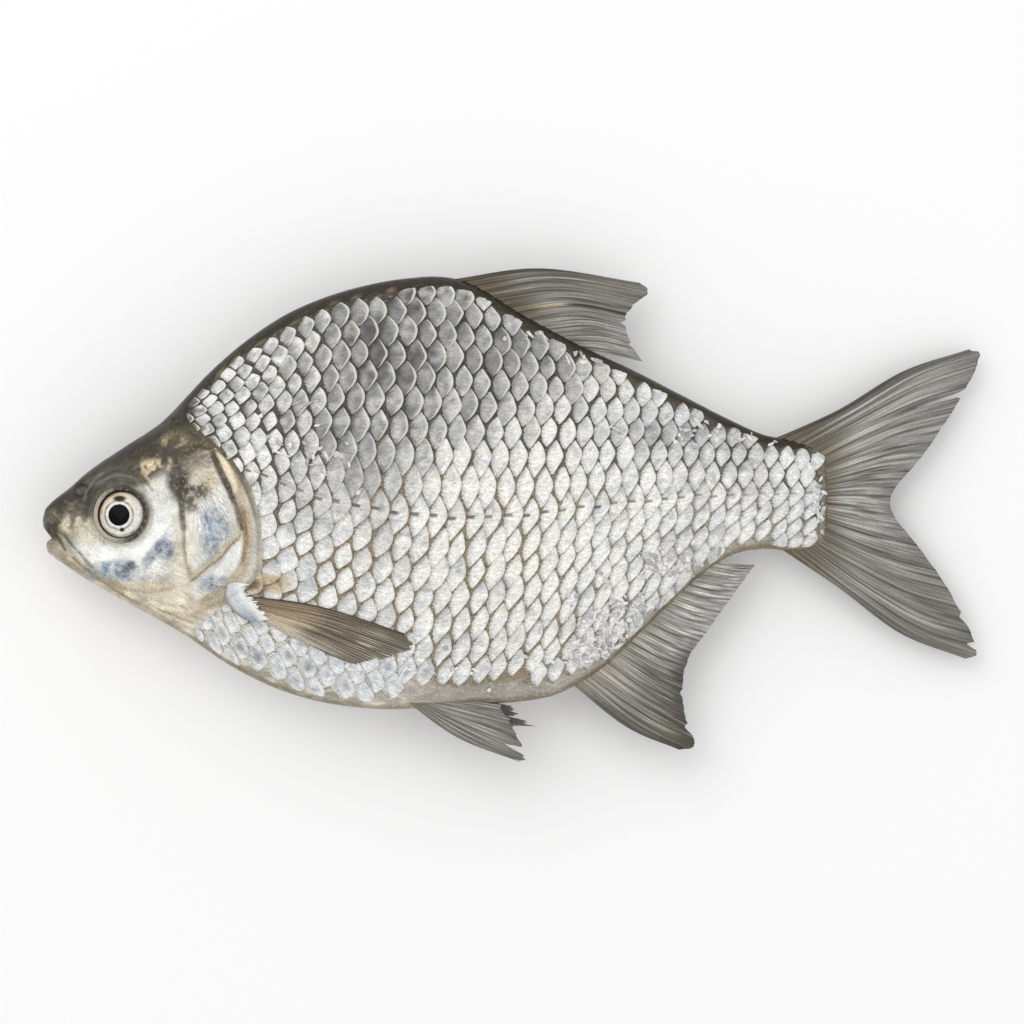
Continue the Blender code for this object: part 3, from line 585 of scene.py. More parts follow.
# Scales that are dulled at the back, and the tan and brown ones over the pectoral fin's root
DULL_BROWN = (118, 103, 76)
ROOT_TAN = (206, 180, 138)
ROOT_BROWN = (104, 84, 58)
# Eyeball and lid. The iris's dark rim and the lid's dark tones are painted shade towards the gill cover
EYE_SILVER = (238, 235, 226)
EYE_BACK = (140, 134, 120)
IRIS_CLOUD = (118, 110, 92)
IRIS_TAN = (140, 120, 86)
IRIS_GOLD = (238, 216, 176)
IRIS_WHITE = (250, 248, 240)
IRIS_GREY = (104, 102, 94)
IRIS_MARK = (58, 50, 38)
IRIS_DOT = (36, 33, 28)
IRIS_RIM_SHADE = (78, 70, 56)
PUPIL_EDGE = (244, 244, 240)
PUPIL_BLACK = (3, 3, 4)
LID_TAN = (182, 174, 156)
LID_SHADE = (56, 51, 42)
LID_INNER_SHADE = (52, 48, 41)
# Each fin's web, rays, root, first ray and margin
DORSAL_TONES = ((136, 133, 124), (104, 100, 90), (92, 80, 60), (60, 55, 45), (126, 124, 117))
ANAL_TONES = ((190, 189, 184), (108, 106, 99), (160, 154, 142), (92, 88, 78), (48, 45, 40))
TAIL_TONES = ((168, 167, 161), (118, 116, 108), (104, 94, 76), (70, 65, 54), (128, 127, 122))
PELVIC_TONES = ((156, 154, 148), (108, 105, 97), (150, 142, 126), (122, 117, 104), (112, 110, 104))
# The far pelvic fin: the near one's tones darkened a little, painted shade
FAR_PELVIC_SHADED_TONES = ((146, 144, 138), (104, 101, 94), (146, 138, 122), (118, 113, 100), (106, 104, 98))
# Pigment and silver in the materials, and the scales' painted rim highlight, given as light (0 to 1)
PIGMENT_BROWN = (0.045, 0.036, 0.024, 1)
GUANINE = (0.86, 0.8, 0.66, 1)
SCALE_PIGMENT = (0.16, 0.15, 0.13, 1)
SCALE_RIM_HIGHLIGHT = (0.86, 0.85, 0.8, 1)
DASH_BROWN = (0.12, 0.085, 0.05, 1)
FIN_PALE = (0.6, 0.58, 0.52, 1)
FIN_PIGMENT = (0.06, 0.055, 0.045, 1)


def belly_front(x, y):
    """1 on the front of the belly, where pale blue-grey scales lie behind the gill cover."""
    low = fall(y - along(BELLY_LINE, x), 12.0, 22.0)
    return low * fall(x, -36.0, -14.0)


def seam_colour(x, y):
    """Colour of the skin between the scales: dark brown above, beige-grey below, partly its own pigment and
    partly painted shade of the gaps.
    """
    share = flank_share(x, y)
    towards_tail = smooth_step(x, -20.0, 45.0)
    low = wash(plain(SEAM_BELOW, np.shape(x)), SEAM_BELOW_REAR, towards_tail)
    high = wash(plain(SEAM_ABOVE, np.shape(x)), SEAM_ABOVE_REAR, towards_tail)
    mixed = low + (high - low) * smooth_step(share, -0.05, 0.5)[..., None]
    return washes(mixed, [
        (SEAM_NAPE, 0.7 * fall(x, -66.0, -40.0) * smooth_step(share, -0.3, 0.1)),
        (SEAM_BEHIND_GILL, 0.9 * spot(x, y, (-76.0, -5.0), (4.6, 13.0))),
        (SEAM_BELLY, 0.9 * belly_front(x, y)),
    ])


def eye_shade(x, y):
    """Painted shade: 1 on the dark side of the eye's rim, towards the gill cover, and 0 towards the snout."""
    bearing = np.arctan2(y - EYE[1], x - EYE[0])
    return smooth_step(np.cos(bearing - 0.3), -0.75, 0.4)


def head_colour(x, y):
    """(colour, flecks, top) of the bare head: brown on top, then its washes in turn."""
    colour = plain(SILVER, np.shape(x))
    flecks = np.full(np.shape(x), 0.15)
    wander = [2.2 * (cloud(x, y, 3.2, seed) - 0.5) for seed in (11, 12)]
    below_back = along(BACK_LINE, x) - y + 4.0 * (cloud(x, y, 3.6, 16) - 0.5)
    top = fall(below_back, 12.0, 17.0) * fall(x, -96.0, -90.0)
    colour = wash(colour, HEAD_BROWN, 0.95 * top)
    broken = smooth_step(cloud(x, y, 2.0, 17) + 0.6 * cloud(x, y, 0.9, 18), 0.62, 0.98)
    for kind, place, size, tone, strength, fleck in HEAD_WASHES:
        if kind == "spot":
            mask = spot(x + wander[0], y + wander[1], place, size)
        else:
            mask = stripe(x + 0.25 * wander[0], y + 0.25 * wander[1], place, size)
        mask = mask * (1 - fleck + fleck * broken)
        colour = wash(colour, tone, strength * mask)
        flecks += (fleck - flecks) * strength * mask
    return colour, flecks, top


def orbit_colour(colour, x, y):
    """The skin with the grey hollow round the eye, and a dark line of painted shade where the lid meets it,
    deepest towards the gill cover.
    """
    away = np.hypot(x - EYE[0], y - EYE[1])
    orbit = wash(plain(ORBIT_GREY, np.shape(x)), ORBIT_SHADE, smooth_step(y - EYE[1], -6.0, 6.0))
    colour = colour + (orbit - colour) * fall(away, 8.8, 10.6)[..., None] * 0.6
    return wash(colour, ORBIT_LINE_SHADE, (0.35 + 0.65 * eye_shade(x, y)) * fall(away, 8.1, 9.0))


def skin_colour(x, y):
    """(colour, flecks) of the skin at each point of the flank."""
    colour, flecks, top = head_colour(x, y)
    colour = orbit_colour(colour, x, y)
    back, belly = along(BACK_LINE, x) - y, y - along(BELLY_LINE, x)
    trunk = scaled_part(x, y)
    # Under the scales the skin takes the seams' colour, partly painted shade of the gaps
    bed = washes(seam_colour(x, y), [
        (BELLY_SKIN, fall(belly, 5.0, 8.0)),
        (FIN_BASE_TAN, spot(x, y, (-73.5, -23.0), (8.5, 4.0))),
    ])
    colour = colour + (bed - colour) * trunk[..., None]
    gill_dark = 0.2 + 0.6 * smooth_step(y, -8.0, 8.0)
    strip = straight(BACK_STRIP, x)
    edge = fall(belly + 1.2 * (cloud(x, y, 4.0, 13) - 0.5), 0.5, 2.4)
    mottles = smooth_step(cloud(x, y, 1.3, 21), 0.6, 0.8)
    mottles = mottles * smooth_step(x, -98.0, -90.0) * fall(x, -34.0, -16.0)
    beads = fall(np.abs(belly - 3.4), 1.2, 3.4) * smooth_step(x, -108.0, -96.0) * fall(x, -40.0, -20.0)
    pearls = smooth_step(cloud(x, y, 1.5, 19), 0.5, 0.72)
    colour = washes(colour, [
        (GILL_SHADOW, gill_dark * fall(np.abs(distance_to(GILL_EDGE, x, y) + 0.9), 0.3, 1.3)),
        (BACK_BROWN, 0.95 * fall(back, 0.6 * strip, 1.8 * strip)),
        (BELLY_EDGE, 0.85 * edge * smooth_step(x, -112.0, -92.0)),
        (BACK_MOTTLE, 0.7 * mottles * fall(np.abs(back - 3.6), 0.8, 2.0)),
        (BELLY_PEARL, 0.85 * beads * pearls),
        (TAIL_ROOT, 0.9 * smooth_step(x, 86.0, 93.0)),
    ])
    tone = 1 + 0.16 * (cloud(x, y, 5.0, 14) - 0.5) + 0.12 * (cloud(x, y, 1.7, 15) - 0.5)
    calm = np.maximum(fall(back, 3.0, 6.0), 0.7 * top)
    return colour * tone[..., None], np.maximum(flecks, 0.25 * trunk) * (1 - 0.9 * calm)


def brushing(x, y):
    """(runs, strength) of the skin's streaks: fanned over the gill plate, along the profile elsewhere."""
    below, above = along(BACK_LINE, x) - y, y - along(BELLY_LINE, x)
    across = np.minimum(below, above)
    turn = np.arctan2(y - PLATE_FAN[1], x - PLATE_FAN[0])
    reach = np.hypot(x - PLATE_FAN[0], y - PLATE_FAN[1])
    plate = spot(x, y, (-89.5, -1.0), (9.0, 15.0))
    runs = np.stack([across, 0.3 * x, 0.02 * across], axis=-1)
    fans = np.stack([13.0 * turn, 0.22 * reach, 0.0 * turn], axis=-1)
    away = np.hypot(x - EYE[0], y - EYE[1])
    round_eye = np.stack([away, 2.0 * np.arctan2(y - EYE[1], x - EYE[0]), 0.0 * away], axis=-1)
    mixed = runs + (round_eye - runs) * fall(away, 11.0, 14.0)[..., None]
    strength = np.maximum(plate, 0.4 + 0.5 * fall(below, 8.0, 16.0))
    return mixed + (fans - mixed) * plate[..., None], strength


# Tones of the scales: (middle, radii, change) over an even silver
SCALE_TONE = 0.99
TONE_PATCHES = [
    ((-74.0, -6.0), (6.0, 16.0), 0.08),
    ((-36.0, 52.0), (26.0, 20.0), -0.48),
    ((-80.0, 33.0), (16.0, 12.0), -0.1),
    ((-50.0, 19.0), (20.0, 17.0), -0.27),
    ((-8.0, 30.0), (26.0, 7.5), -0.12),
    ((8.0, 46.0), (22.0, 12.0), -0.3),
    ((6.0, -7.0), (36.0, 30.0), 0.14),
    ((-56.0, -14.0), (20.0, 18.0), 0.06),
    ((-60.0, -50.0), (40.0, 9.0), 0.02),
    ((-4.0, -44.0), (30.0, 7.0), 0.03),
    ((52.0, 24.0), (30.0, 7.0), -0.15),
    ((84.0, 6.0), (10.0, 16.0), 0.04),
]
BLUE_PATCHES = [
    ((-50.0, -46.0), (30.0, 10.0), 0.9), ((55.0, 24.0), (14.0, 10.0), 0.5), ((33.0, 26.0), (12.0, 10.0), 0.4),
    ((-66.0, -14.0), (14.0, 16.0), 0.35), ((-88.0, 30.0), (10.0, 12.0), 0.4),
    ((40.0, -14.0), (14.0, 14.0), 0.3), ((87.0, 6.0), (8.0, 16.0), 0.5),
]


def patched(start, patches, x, y):
    """An even value with soft oval patches added to it: (middle, radii, change)."""
    total = np.full(np.shape(x), start, float)
    for middle, radii, change in patches:
        total += change * np.exp(-((x - middle[0]) / radii[0]) ** 2 - ((y - middle[1]) / radii[1]) ** 2)
    return total


def scale_tone(x, y):
    """(tone, blueness, warmth) of a scale at (x, y)."""
    blue = patched(0.0, BLUE_PATCHES, x, y)
    warm = 0.35 + 0.4 * np.exp(-((x - 4.0) / 34.0) ** 2 - ((y + 6.0) / 26.0) ** 2)
    return patched(SCALE_TONE, TONE_PATCHES, x, y), blue, warm - 0.3 * np.clip(blue, 0, 1)


# Meshes

def grid_faces(columns, rows, start=0, flip=False):
    """Quads of a grid of points that are numbered row after row, columns points to a row."""
    i, j = np.meshgrid(np.arange(columns - 1), np.arange(rows - 1))
    low = (start + j * columns + i).ravel()
    faces = np.stack([low, low + 1, low + columns + 1, low + columns], axis=1)
    return faces[:, ::-1] if flip else faces


def put(name, data):
    """A new object in the scene."""
    made = bpy.data.objects.new(name, data)
    bpy.context.scene.collection.objects.link(made)
    return made


def piece(name, points, faces, look, marks=None, weld=False):
    """Makes one smooth piece of the fish from points in millimetres, and lets it ride on the body."""
    mesh = bpy.data.meshes.new(name)
    faces = faces if isinstance(faces, list) else np.asarray(faces).tolist()
    mesh.from_pydata((np.asarray(points) * MM).tolist(), [], faces)
    for label, values in (marks or {}).items():
        give(mesh, label, values)
    if weld:
        form = bmesh.new()
        form.from_mesh(mesh)
        bmesh.ops.remove_doubles(form, verts=form.verts, dist=2e-6)
        bmesh.ops.dissolve_degenerate(form, edges=form.edges, dist=1e-7)
        bmesh.ops.recalc_face_normals(form, faces=form.faces)
        form.to_mesh(mesh)
        form.free()
    mesh.shade_smooth()
    mesh.materials.append(look)
    made = put(name, mesh)
    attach(made, "root")
    return made


def give(mesh, label, values):
    """Writes one value, vector or colour to each point of a mesh."""
    values = np.asarray(values, np.float32)
    if values.ndim == 1:
        kind, field = "FLOAT", "value"
    elif label in ("tint", "seam"):
        kind, field = "FLOAT_COLOR", "color"
        values = np.concatenate([light(values), np.ones((len(values), 1))], axis=1)
    else:
        kind, field = "FLOAT_VECTOR", "vector"
    layer = mesh.attributes.new(label, kind, "POINT")
    layer.data.foreach_set(field, np.ascontiguousarray(values, np.float32).ravel())


def closed_sheet(upper, lower):
    """Points and faces of a closed sheet from its upper and lower grids of points."""
    rows, columns = upper.shape[:2]
    count = rows * columns
    points = np.concatenate([upper.reshape(-1, 3), lower.reshape(-1, 3)])
    index = np.arange(count).reshape(rows, columns)
    border = np.concatenate([index[0, :-1], index[:-1, -1], index[-1, :0:-1], index[:0:-1, 0]])
    after = np.roll(border, -1)
    side = np.stack([border + count, after + count, after, border], axis=1)
    faces = np.concatenate([grid_faces(columns, rows), grid_faces(columns, rows, count, flip=True), side])
    return points, faces


def skin(look):
    """The body's skin: both flanks from one shape, welded along the back and the belly, the lips parted."""
    xs = stations()
    up = np.linspace(-0.5, 0.5, FLANK_ROWS + 1)
    station, rise = np.meshgrid(xs, up)
    share = EDGE_CROWDING * np.sin(np.pi * rise) + (1 - EDGE_CROWDING) * 2 * rise
    edge_x = xs[HEAD_STATIONS]
    ahead = (station - SNOUT_X) / (edge_x - SNOUT_X)
    behind = (BOW_END_X - station) / (BOW_END_X - edge_x)
    x = station + np.clip(np.minimum(ahead, behind), 0, 1) * bow_stations(xs, share)
    y = flank_point(x, share)
    on_edge = (np.abs(share) > 0.9999) | (station == xs[0]) | (station == xs[-1])
    height = np.where(on_edge, 0.0, skin_height(x, y))
    middle = along(MIDDLE_PLANE, x)
    upper = np.stack([x, y, middle + height], axis=-1)
    lower = np.stack([x, y, np.maximum(middle - height, np.minimum(middle, SKIN_BED))], axis=-1)
    points, faces = closed_sheet(upper, lower)
    made = piece("fish_skin", points, faces, look, weld=True)
    part_lips(made)
    place = np.empty(len(made.data.vertices) * 3, np.float32)
    made.data.vertices.foreach_get("co", place)
    x, y = place.reshape(-1, 3).T[:2] / MM
    values = (*skin_colour(x, y), *brushing(x, y))
    for label, value in zip(("tint", "flecks", "brushing", "streaks"), values):
        give(made.data, label, value)
    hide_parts("fish")
    return made


def part_lips(body):
    """Cuts the wedge of the mouth's opening out of the snout."""
    wedge = bmesh.new()
    middle = along(MIDDLE_PLANE, SNOUT_X)
    rings = []
    for z in (middle - GAPE_HALF_DEPTH, middle + GAPE_HALF_DEPTH):
        rings.append([wedge.verts.new((x * MM, y * MM, z * MM)) for x, y in GAPE])
    wedge.faces.new(rings[0])
    wedge.faces.new(reversed(rings[1]))
    for i in range(len(GAPE)):
        j = (i + 1) % len(GAPE)
        wedge.faces.new((rings[0][i], rings[1][i], rings[1][j], rings[0][j]))
    bmesh.ops.recalc_face_normals(wedge, faces=wedge.faces)
    mesh = bpy.data.meshes.new("gape")
    wedge.to_mesh(mesh)
    wedge.free()
    cutter = put("gape", mesh)
    opening = body.modifiers.new("Gape", "BOOLEAN")
    opening.operation = "DIFFERENCE"
    opening.object = cutter
    opening.solver = "EXACT"
    graph = bpy.context.evaluated_depsgraph_get()
    cut = bpy.data.meshes.new_from_object(body.evaluated_get(graph))
    body.modifiers.clear()
    old = body.data
    body.data = cut
    bpy.data.meshes.remove(old)
    bpy.data.objects.remove(cutter)
    bpy.data.meshes.remove(mesh)
    body.data.name = body.name


# Scales

def lattice_point(column, row):
    """Plan point of the scale lattice."""
    x = along(COLUMN_X, column) + along(ROW_LEAN, row)
    squeeze = np.where(row > 0, along(SQUEEZE_ABOVE, x), along(SQUEEZE_BELOW, x))
    return x, along(LATERAL_LINE, x) + along(ROW_RISE, row) * squeeze


def rear_edge(up):
    """How far a scale reaches behind its middle, up being 0 at mid height."""
    return 0.5 * (1 - (np.abs(up) / SCALE_TIP) ** SCALE_ROUNDING)


def covered_edge(up):
    """Where the scales in front stop covering this one."""
    return np.maximum(rear_edge(up) - 1, rear_edge(1 - np.abs(up)) - 0.5)


def scale_places(rng):
    """(column, row) of every scale on one flank."""
    rows = np.arange(FIRST_ROW, LAST_ROW + 1)
    columns = np.arange(FIRST_COLUMN, LAST_COLUMN + 1)
    column, row = (a.ravel().astype(float) for a in np.meshgrid(columns, rows))
    column += 0.5 * (row % 2)
    x, y = lattice_point(column, row)
    ragged = 4.0 * (rng.random(len(x)) - 0.45)
    keep = x > along(SCALES_BEGIN, y) - 2.2
    keep &= x < SCALES_END_X - 1.6 + ragged
    keep &= y < along(BACK_LINE, x) - straight(BACK_STRIP, x)
    keep &= y > along(BELLY_LINE, x) + straight(BELLY_STRIP, x)
    return column[keep], row[keep]


def scale_form(column, row, side, rng):
    """(x, y, z) of every point of one flank's scales, and how far it lies inside what its scale shows."""
    count, up = len(column), SCALE_REACH * SCALE_UP
    jog = SCALE_JOG * rng.standard_normal((2, count, 1, 1))
    grow = 1 + SCALE_GROWTH * rng.standard_normal((count, 1, 1))
    rear, front = rear_edge(up), covered_edge(up)
    reach = front + SCALE_ACROSS * (rear - front)
    wave = 0.02 * np.sin(9 * up + 40 * rng.random((count, 1, 1))) * smooth_step(SCALE_ACROSS, 0.5, 1.0)
    x, y = lattice_point(column + jog[0] + (reach + wave) * grow, row + jog[1] + up * grow)
    y = np.clip(y, along(BELLY_LINE, x) + 0.5, along(BACK_LINE, x) - 0.5)
    crown = SCALE_CROWN * (1 - (up / SCALE_REACH) ** 2) * (1 - (2 * SCALE_ACROSS - 1) ** 2)
    tilt = SCALE_TILT * rng.standard_normal((count, 1, 1)) * smooth_step(SCALE_ACROSS, 0.2, 1.0)
    lens = reach - LENS_FRONT - LENS_BOW * np.abs(up) ** LENS_POWER
    rise = SCALE_STEP * (1 - (rear - reach)) + np.where(SCALE_ACROSS > 0, crown, 0.0) + tilt
    rise = rise - LENS_SLOPE * fall(lens, -0.05, 0.14) * np.where(SCALE_ACROSS > 0, 1.0, 0.0)
    rise[..., -1] -= SCALE_LIP
    back_strip, belly_strip = straight(BACK_STRIP, x), straight(BELLY_STRIP, x)
    inside = smooth_step(along(BACK_LINE, x) - y, 0.5 * back_strip, 1.1 * back_strip)
    inside = inside * smooth_step(y - along(BELLY_LINE, x), 0.3 * belly_strip, 0.9 * belly_strip)
    inside = inside * smooth_step(x - along(SCALES_BEGIN, y), -1.2, 0.4)
    rise = np.minimum(rise, SCALE_BED) - SCALE_SINK * (1 - inside)
    bed = np.maximum(half_thickness(x, y), TAIL_ROOT_HALF * smooth_step(x, 87.0, 92.0)) - SCALE_BED
    plane = along(MIDDLE_PLANE, x)
    z = plane + bed + rise if side > 0 else np.maximum(plane - bed, SCALE_BED) - rise
    return x, y, z, lens


def scale_tint(x, y, middle_x, middle_y, lens, contrast, rng, seed):
    """Colour over each scale: its own tone, greyed, dulled or blued in places, with painted shade over its
    upper part and in the middle of each belly-front scale, and a painted highlight towards its rear.
    """
    shape, each = x.shape, (len(x), 1, 1)
    tone, blue, warm = scale_tone(middle_x, middle_y)
    tone = tone + (0.02 + 0.03 * contrast) * rng.standard_normal(each)
    local = np.broadcast_to(tone, shape).copy()
    # Painted shade: the upper part of each scale darker
    upper_shade = 0.05 + 0.06 * rng.random(each)
    local -= upper_shade * smooth_step(SCALE_UP, -0.2, 0.7) * (1 - 0.7 * contrast)
    # Painted highlight: lighter towards each scale's rear and top
    local += 0.12 * contrast * smooth_step(SCALE_ACROSS + 0.3 * SCALE_UP, 0.55, 1.1)
    local += 0.14 * (cloud(x, y, 1.5, seed + 5) - 0.5) + 0.12 * (cloud(x, y, 8.0, seed + 7) - 0.5)
    belly = belly_front(middle_x, middle_y)
    # Painted shade of a dip: the middle of each belly-front scale darker and bluer
    hollow = fall(np.hypot(SCALE_ACROSS * 2 - 1.1, SCALE_UP * 1.3), 0.1, 0.85) * belly
    local = local - (0.04 + 0.3 * rng.random(each) ** 1.6) * hollow + 0.08 * belly
    fringe = fall(middle_x - along(SCALES_BEGIN, middle_y), 0.0, 9.0) * smooth_step(middle_y, 14.0, 26.0)
    ahead = fall(middle_x, -30.0, 0.0)
    dusk = np.clip(fringe + 0.6 * ahead * fall(along(BACK_LINE, middle_x) - middle_y, 3.0, 8.0), 0, 1)
    dull = dusk * smooth_step(cloud(x, y, 1.3, seed + 6), 0.3, 0.8)
    local -= 0.1 * dusk + 0.5 * dull
    local += 0.34 * contrast * ahead * (cloud(x, y, 2.0, seed + 8) - 0.56)
    greyed = smooth_step(cloud(x, y, 2.0, seed + 9) + 0.6 * cloud(x, y, 0.9, seed + 10), 0.85, 1.25)
    local -= 0.1 * greyed
    local += 0.2 * belly * fall(lens, 0.02, 0.3)
    local = np.minimum(local, 1.03)
    cream = np.stack([local * 254, local * (253 - 2 * warm), local * (250 - 11 * warm)], axis=-1)
    blued = np.stack([local * 226, local * 235, local * 245], axis=-1)
    spread = np.clip(blue, 0, 1) * fall(np.abs(SCALE_UP), 0.2, 0.9) * 0.6
    spread = np.maximum(spread, np.maximum(0.8 * hollow, 0.5 * greyed))
    return washes(cream + (blued - cream) * spread[..., None], [
        (DULL_BROWN, 0.5 * dull),
        (ROOT_TAN, 0.8 * spot(x, y, (-73.6, -20.4), (7.5, 3.2))),
        (ROOT_BROWN, 0.8 * spot(x, y, (-78.4, -20.6), (3.4, 1.8))),
    ])


def scales(name, side, look, seed):
    """All scales of one flank as one mesh: each overlaps the one behind it."""
    rng = np.random.default_rng(seed)
    column, row = (values[:, None, None] for values in scale_places(rng))
    middle_x, middle_y = lattice_point(column, row)
    x, y, z, lens = scale_form(column, row, side, rng)
    one = grid_faces(SCALE_ACROSS.size, SCALE_UP.size, flip=side < 0)
    step = SCALE_ACROSS.size * SCALE_UP.size
    faces = (one[None] + step * np.arange(len(x))[:, None, None]).reshape(-1, 4)

    share = flank_share(middle_x, middle_y)
    contrast = smooth_step(share, -0.1, 0.4) * fall(middle_x, 20.0, 60.0)
    tint = scale_tint(x, y, middle_x, middle_y, lens, contrast, rng, seed)
    luck = rng.random((len(x), 1, 1))
    front = fall(middle_x, -66.0, -44.0) * smooth_step(share, -0.1, 0.3)
    below = -SCALE_REACH * SCALE_UP
    diagonal = 0.12 * smooth_step(below, -0.05, 0.3) * fall(below, 0.5, 0.76)
    gap = 0.01 + 0.015 * smooth_step(-share, -0.1, 0.3) * fall(middle_x, 20.0, 50.0)
    gap = gap + front * (0.02 + diagonal)
    dash = (row == 0) * (0.7 + 0.3 * rng.random((len(x), 1, 1)))
    dash = dash * (1 - 0.35 * smooth_step(middle_x, 40.0, 70.0))
    place, bedding = (
        np.stack([np.broadcast_to(value, x.shape) for value in values], axis=-1)
        for values in ((SCALE_ACROSS, SCALE_UP, luck), (lens - gap, contrast, dash))
    )
    # Each scale's seam colour, partly pigment and partly painted shade of the gaps
    seam = np.broadcast_to(seam_colour(middle_x, middle_y), x.shape + (3,))
    marks = {"tint": tint, "seam": seam, "place": place, "bedding": bedding}
    marks = {label: values.reshape(-1, 3) for label, values in marks.items()}
    return piece(name, np.stack([x, y, z], axis=-1).reshape(-1, 3), faces, look, marks)


# Fins

def ray_ridge(across, out, rays):
    """1 on a ray, 0 on the web between two rays. Each ray forks on its way out."""
    phase = across * rays - np.floor(across * rays)
    fork = 0.25 * smooth_step(out, 0.35, 0.7)
    width = 0.17 - 0.05 * smooth_step(out, 0.3, 0.8)
    near = np.exp(-(((phase - 0.5 - fork) / width) ** 2))
    return np.maximum(near, np.exp(-(((phase - 0.5 + fork) / width) ** 2)))


def fin(name, lines, height_at, look, colour_at, seed, rays, steps, thickness, margin_share,
        jags=0.02, notches=()):
    """A closed fan with a ridge on each ray, a ragged margin and torn notches: (place, depth, width)."""
    rng = np.random.default_rng(seed)
    across, out = np.meshgrid(np.linspace(0, 1, rays * RAY_COLUMNS + 1), np.linspace(0, 1, steps + 1))
    teeth, fine = (
        np.interp(across[0], np.linspace(0, 1, rays * n + 1), rng.random(rays * n + 1)) for n in (2, 4)
    )
    from_side = np.minimum(across[0], 1 - across[0])
    limit = 1 - jags * (0.6 * teeth + 0.4 * fine) * smooth_step(from_side, 0.0, 0.06)
    for place, depth, width in notches:
        limit -= depth * np.clip(1 - np.abs(across[0] - place) / width, 0, 1) ** 0.7
    reach = out * limit[None, :]
    x, y = fan_point(lines, across.ravel(), reach.ravel())
    x, y = x.reshape(across.shape), y.reshape(across.shape)
    ridge = ray_ridge(across, reach, rays)
    bumps = 0.08 * np.sin(reach * 240.0) * ridge * smooth_step(reach, 0.3, 0.6)
    half = 0.5 * thickness * (1 - (1 - margin_share) * reach) * (0.42 + 0.58 * ridge + bumps)
    rim = np.minimum(np.minimum(across, 1 - across) * rays / 0.5, (1 - out) * steps / 2.0)
    half = half * (0.35 + 0.65 * smooth_step(rim, 0.0, 1.0))
    middle = height_at(x, y, reach) + 0.25 * (cloud(x, y, 6.0, seed + 1) - 0.5) * reach
    points, faces = closed_sheet(*(np.stack([x, y, middle + way * half], axis=-1) for way in (1, -1)))
    place = np.stack([across * rays, reach, ridge], axis=-1)
    marks = {"tint": colour_at(across, reach, ridge), "place": place}
    marks = {label: np.concatenate([values.reshape(-1, 3)] * 2) for label, values in marks.items()}
    return piece(name, points, faces, look, marks)


def rooted(lines, depth):
    """The same fin with its root carried on along its rays, into the flesh."""
    root, inner = np.array(lines[0]), np.array(lines[1])
    back = root - inner
    back /= np.linalg.norm(back, axis=1)[:, None]
    return [root + depth * back, *lines[1:]]


def on_middle_plane(droop):
    """Height for a fin in the fish's middle plane, which droops towards its margin."""
    return lambda x, y, out: along(MIDDLE_PLANE, x) - droop * out ** 2


def beside_keel(side, start, end):
    """Height for a pelvic fin, from a little beside the middle plane at its root."""
    return lambda x, y, out: along(MIDDLE_PLANE, x) + side * (start + (end - start) * out)


def on_flank(side, proud):
    """Height for a pectoral fin folded back on the flank."""
    return lambda x, y, out: along(MIDDLE_PLANE, x) + side * (half_thickness(x, y) + proud)


def fin_colour(tones, seed, across, out, ridge, spare=1.0):
    """Colour of a fin from its tones. Its margin's tone spares the last rays."""
    web, ray, root, first_ray, margin = tones
    streak = cloud(across * 160.0, out * 5.0, 1.0, seed)
    broad = cloud(across * 34.0, out * 3.0, 1.0, seed + 1)
    made = washes(plain(web, across.shape), [
        (ray, ridge * (0.4 + 0.6 * broad)),
        (first_ray, 0.8 * fall(across, 0.02, 0.1)),
        (root, 0.8 * fall(out, 0.1, 0.34)),
        (margin, 0.85 * smooth_step(out, 0.5, 1.0) * fall(across, spare - 0.3, spare)),
    ])
    return made * (0.86 + 0.16 * streak + 0.14 * broad)[..., None]


def fins(look, soft):
    """The seven fins: three in the middle plane and two pairs. A flap lies over each pectoral fin's root."""
    fin("dorsal_fin", rooted(DORSAL_FIN, 3.0), on_middle_plane(2.0), look, dorsal_colour, 31,
        rays=11, steps=60, thickness=1.7, margin_share=0.4,
        jags=0.025, notches=((0.62, 0.05, 0.03), (0.86, 0.04, 0.03)))
    fin("anal_fin", rooted(ANAL_FIN, 3.0), on_middle_plane(2.4), look, anal_colour, 32,
        rays=24, steps=46, thickness=1.5, margin_share=0.42,
        jags=0.035, notches=((0.2, 0.06, 0.02), (0.34, 0.04, 0.015)))
    fin("tail_fin", rooted(TAIL_FIN, 4.0), on_middle_plane(0.0), look, tail_colour, 33,
        rays=20, steps=64, thickness=2.0, margin_share=0.36,
        jags=0.02, notches=((0.25, 0.34, 0.0065), (0.8625, 0.05, 0.012), (0.8, 0.035, 0.01)))
    fin("pelvic_fin_left", rooted(PELVIC_FIN, 2.0), beside_keel(1, 3.6, 1.6), look,
        pelvic_colour(PELVIC_TONES, 24), 34, rays=8, steps=44, thickness=1.3, margin_share=0.45,
        jags=0.08, notches=((0.42, 0.16, 0.05),))
    fin("pelvic_fin_right", rooted(FAR_PELVIC_FIN, 2.0), beside_keel(-1, 3.6, 4.6), look,
        pelvic_colour(FAR_PELVIC_SHADED_TONES, 25), 35, rays=8, steps=44, thickness=1.3, margin_share=0.45,
        jags=0.1, notches=((0.5, 0.1, 0.06),))
    for name, side, seed in (("left", 1, 26), ("right", -1, 27)):
        fin("pectoral_fin_" + name, PECTORAL_FIN, on_flank(side, 0.2), look, pectoral_colour(seed), seed + 10,
            rays=14, steps=60, thickness=1.6, margin_share=0.62, jags=0.05)
        fin("root_flap_" + name, ROOT_FLAP, on_flank(side, 1.6), soft, flap_colour, seed + 20,
            rays=22, steps=20, thickness=0.8, margin_share=0.5, jags=0.36)


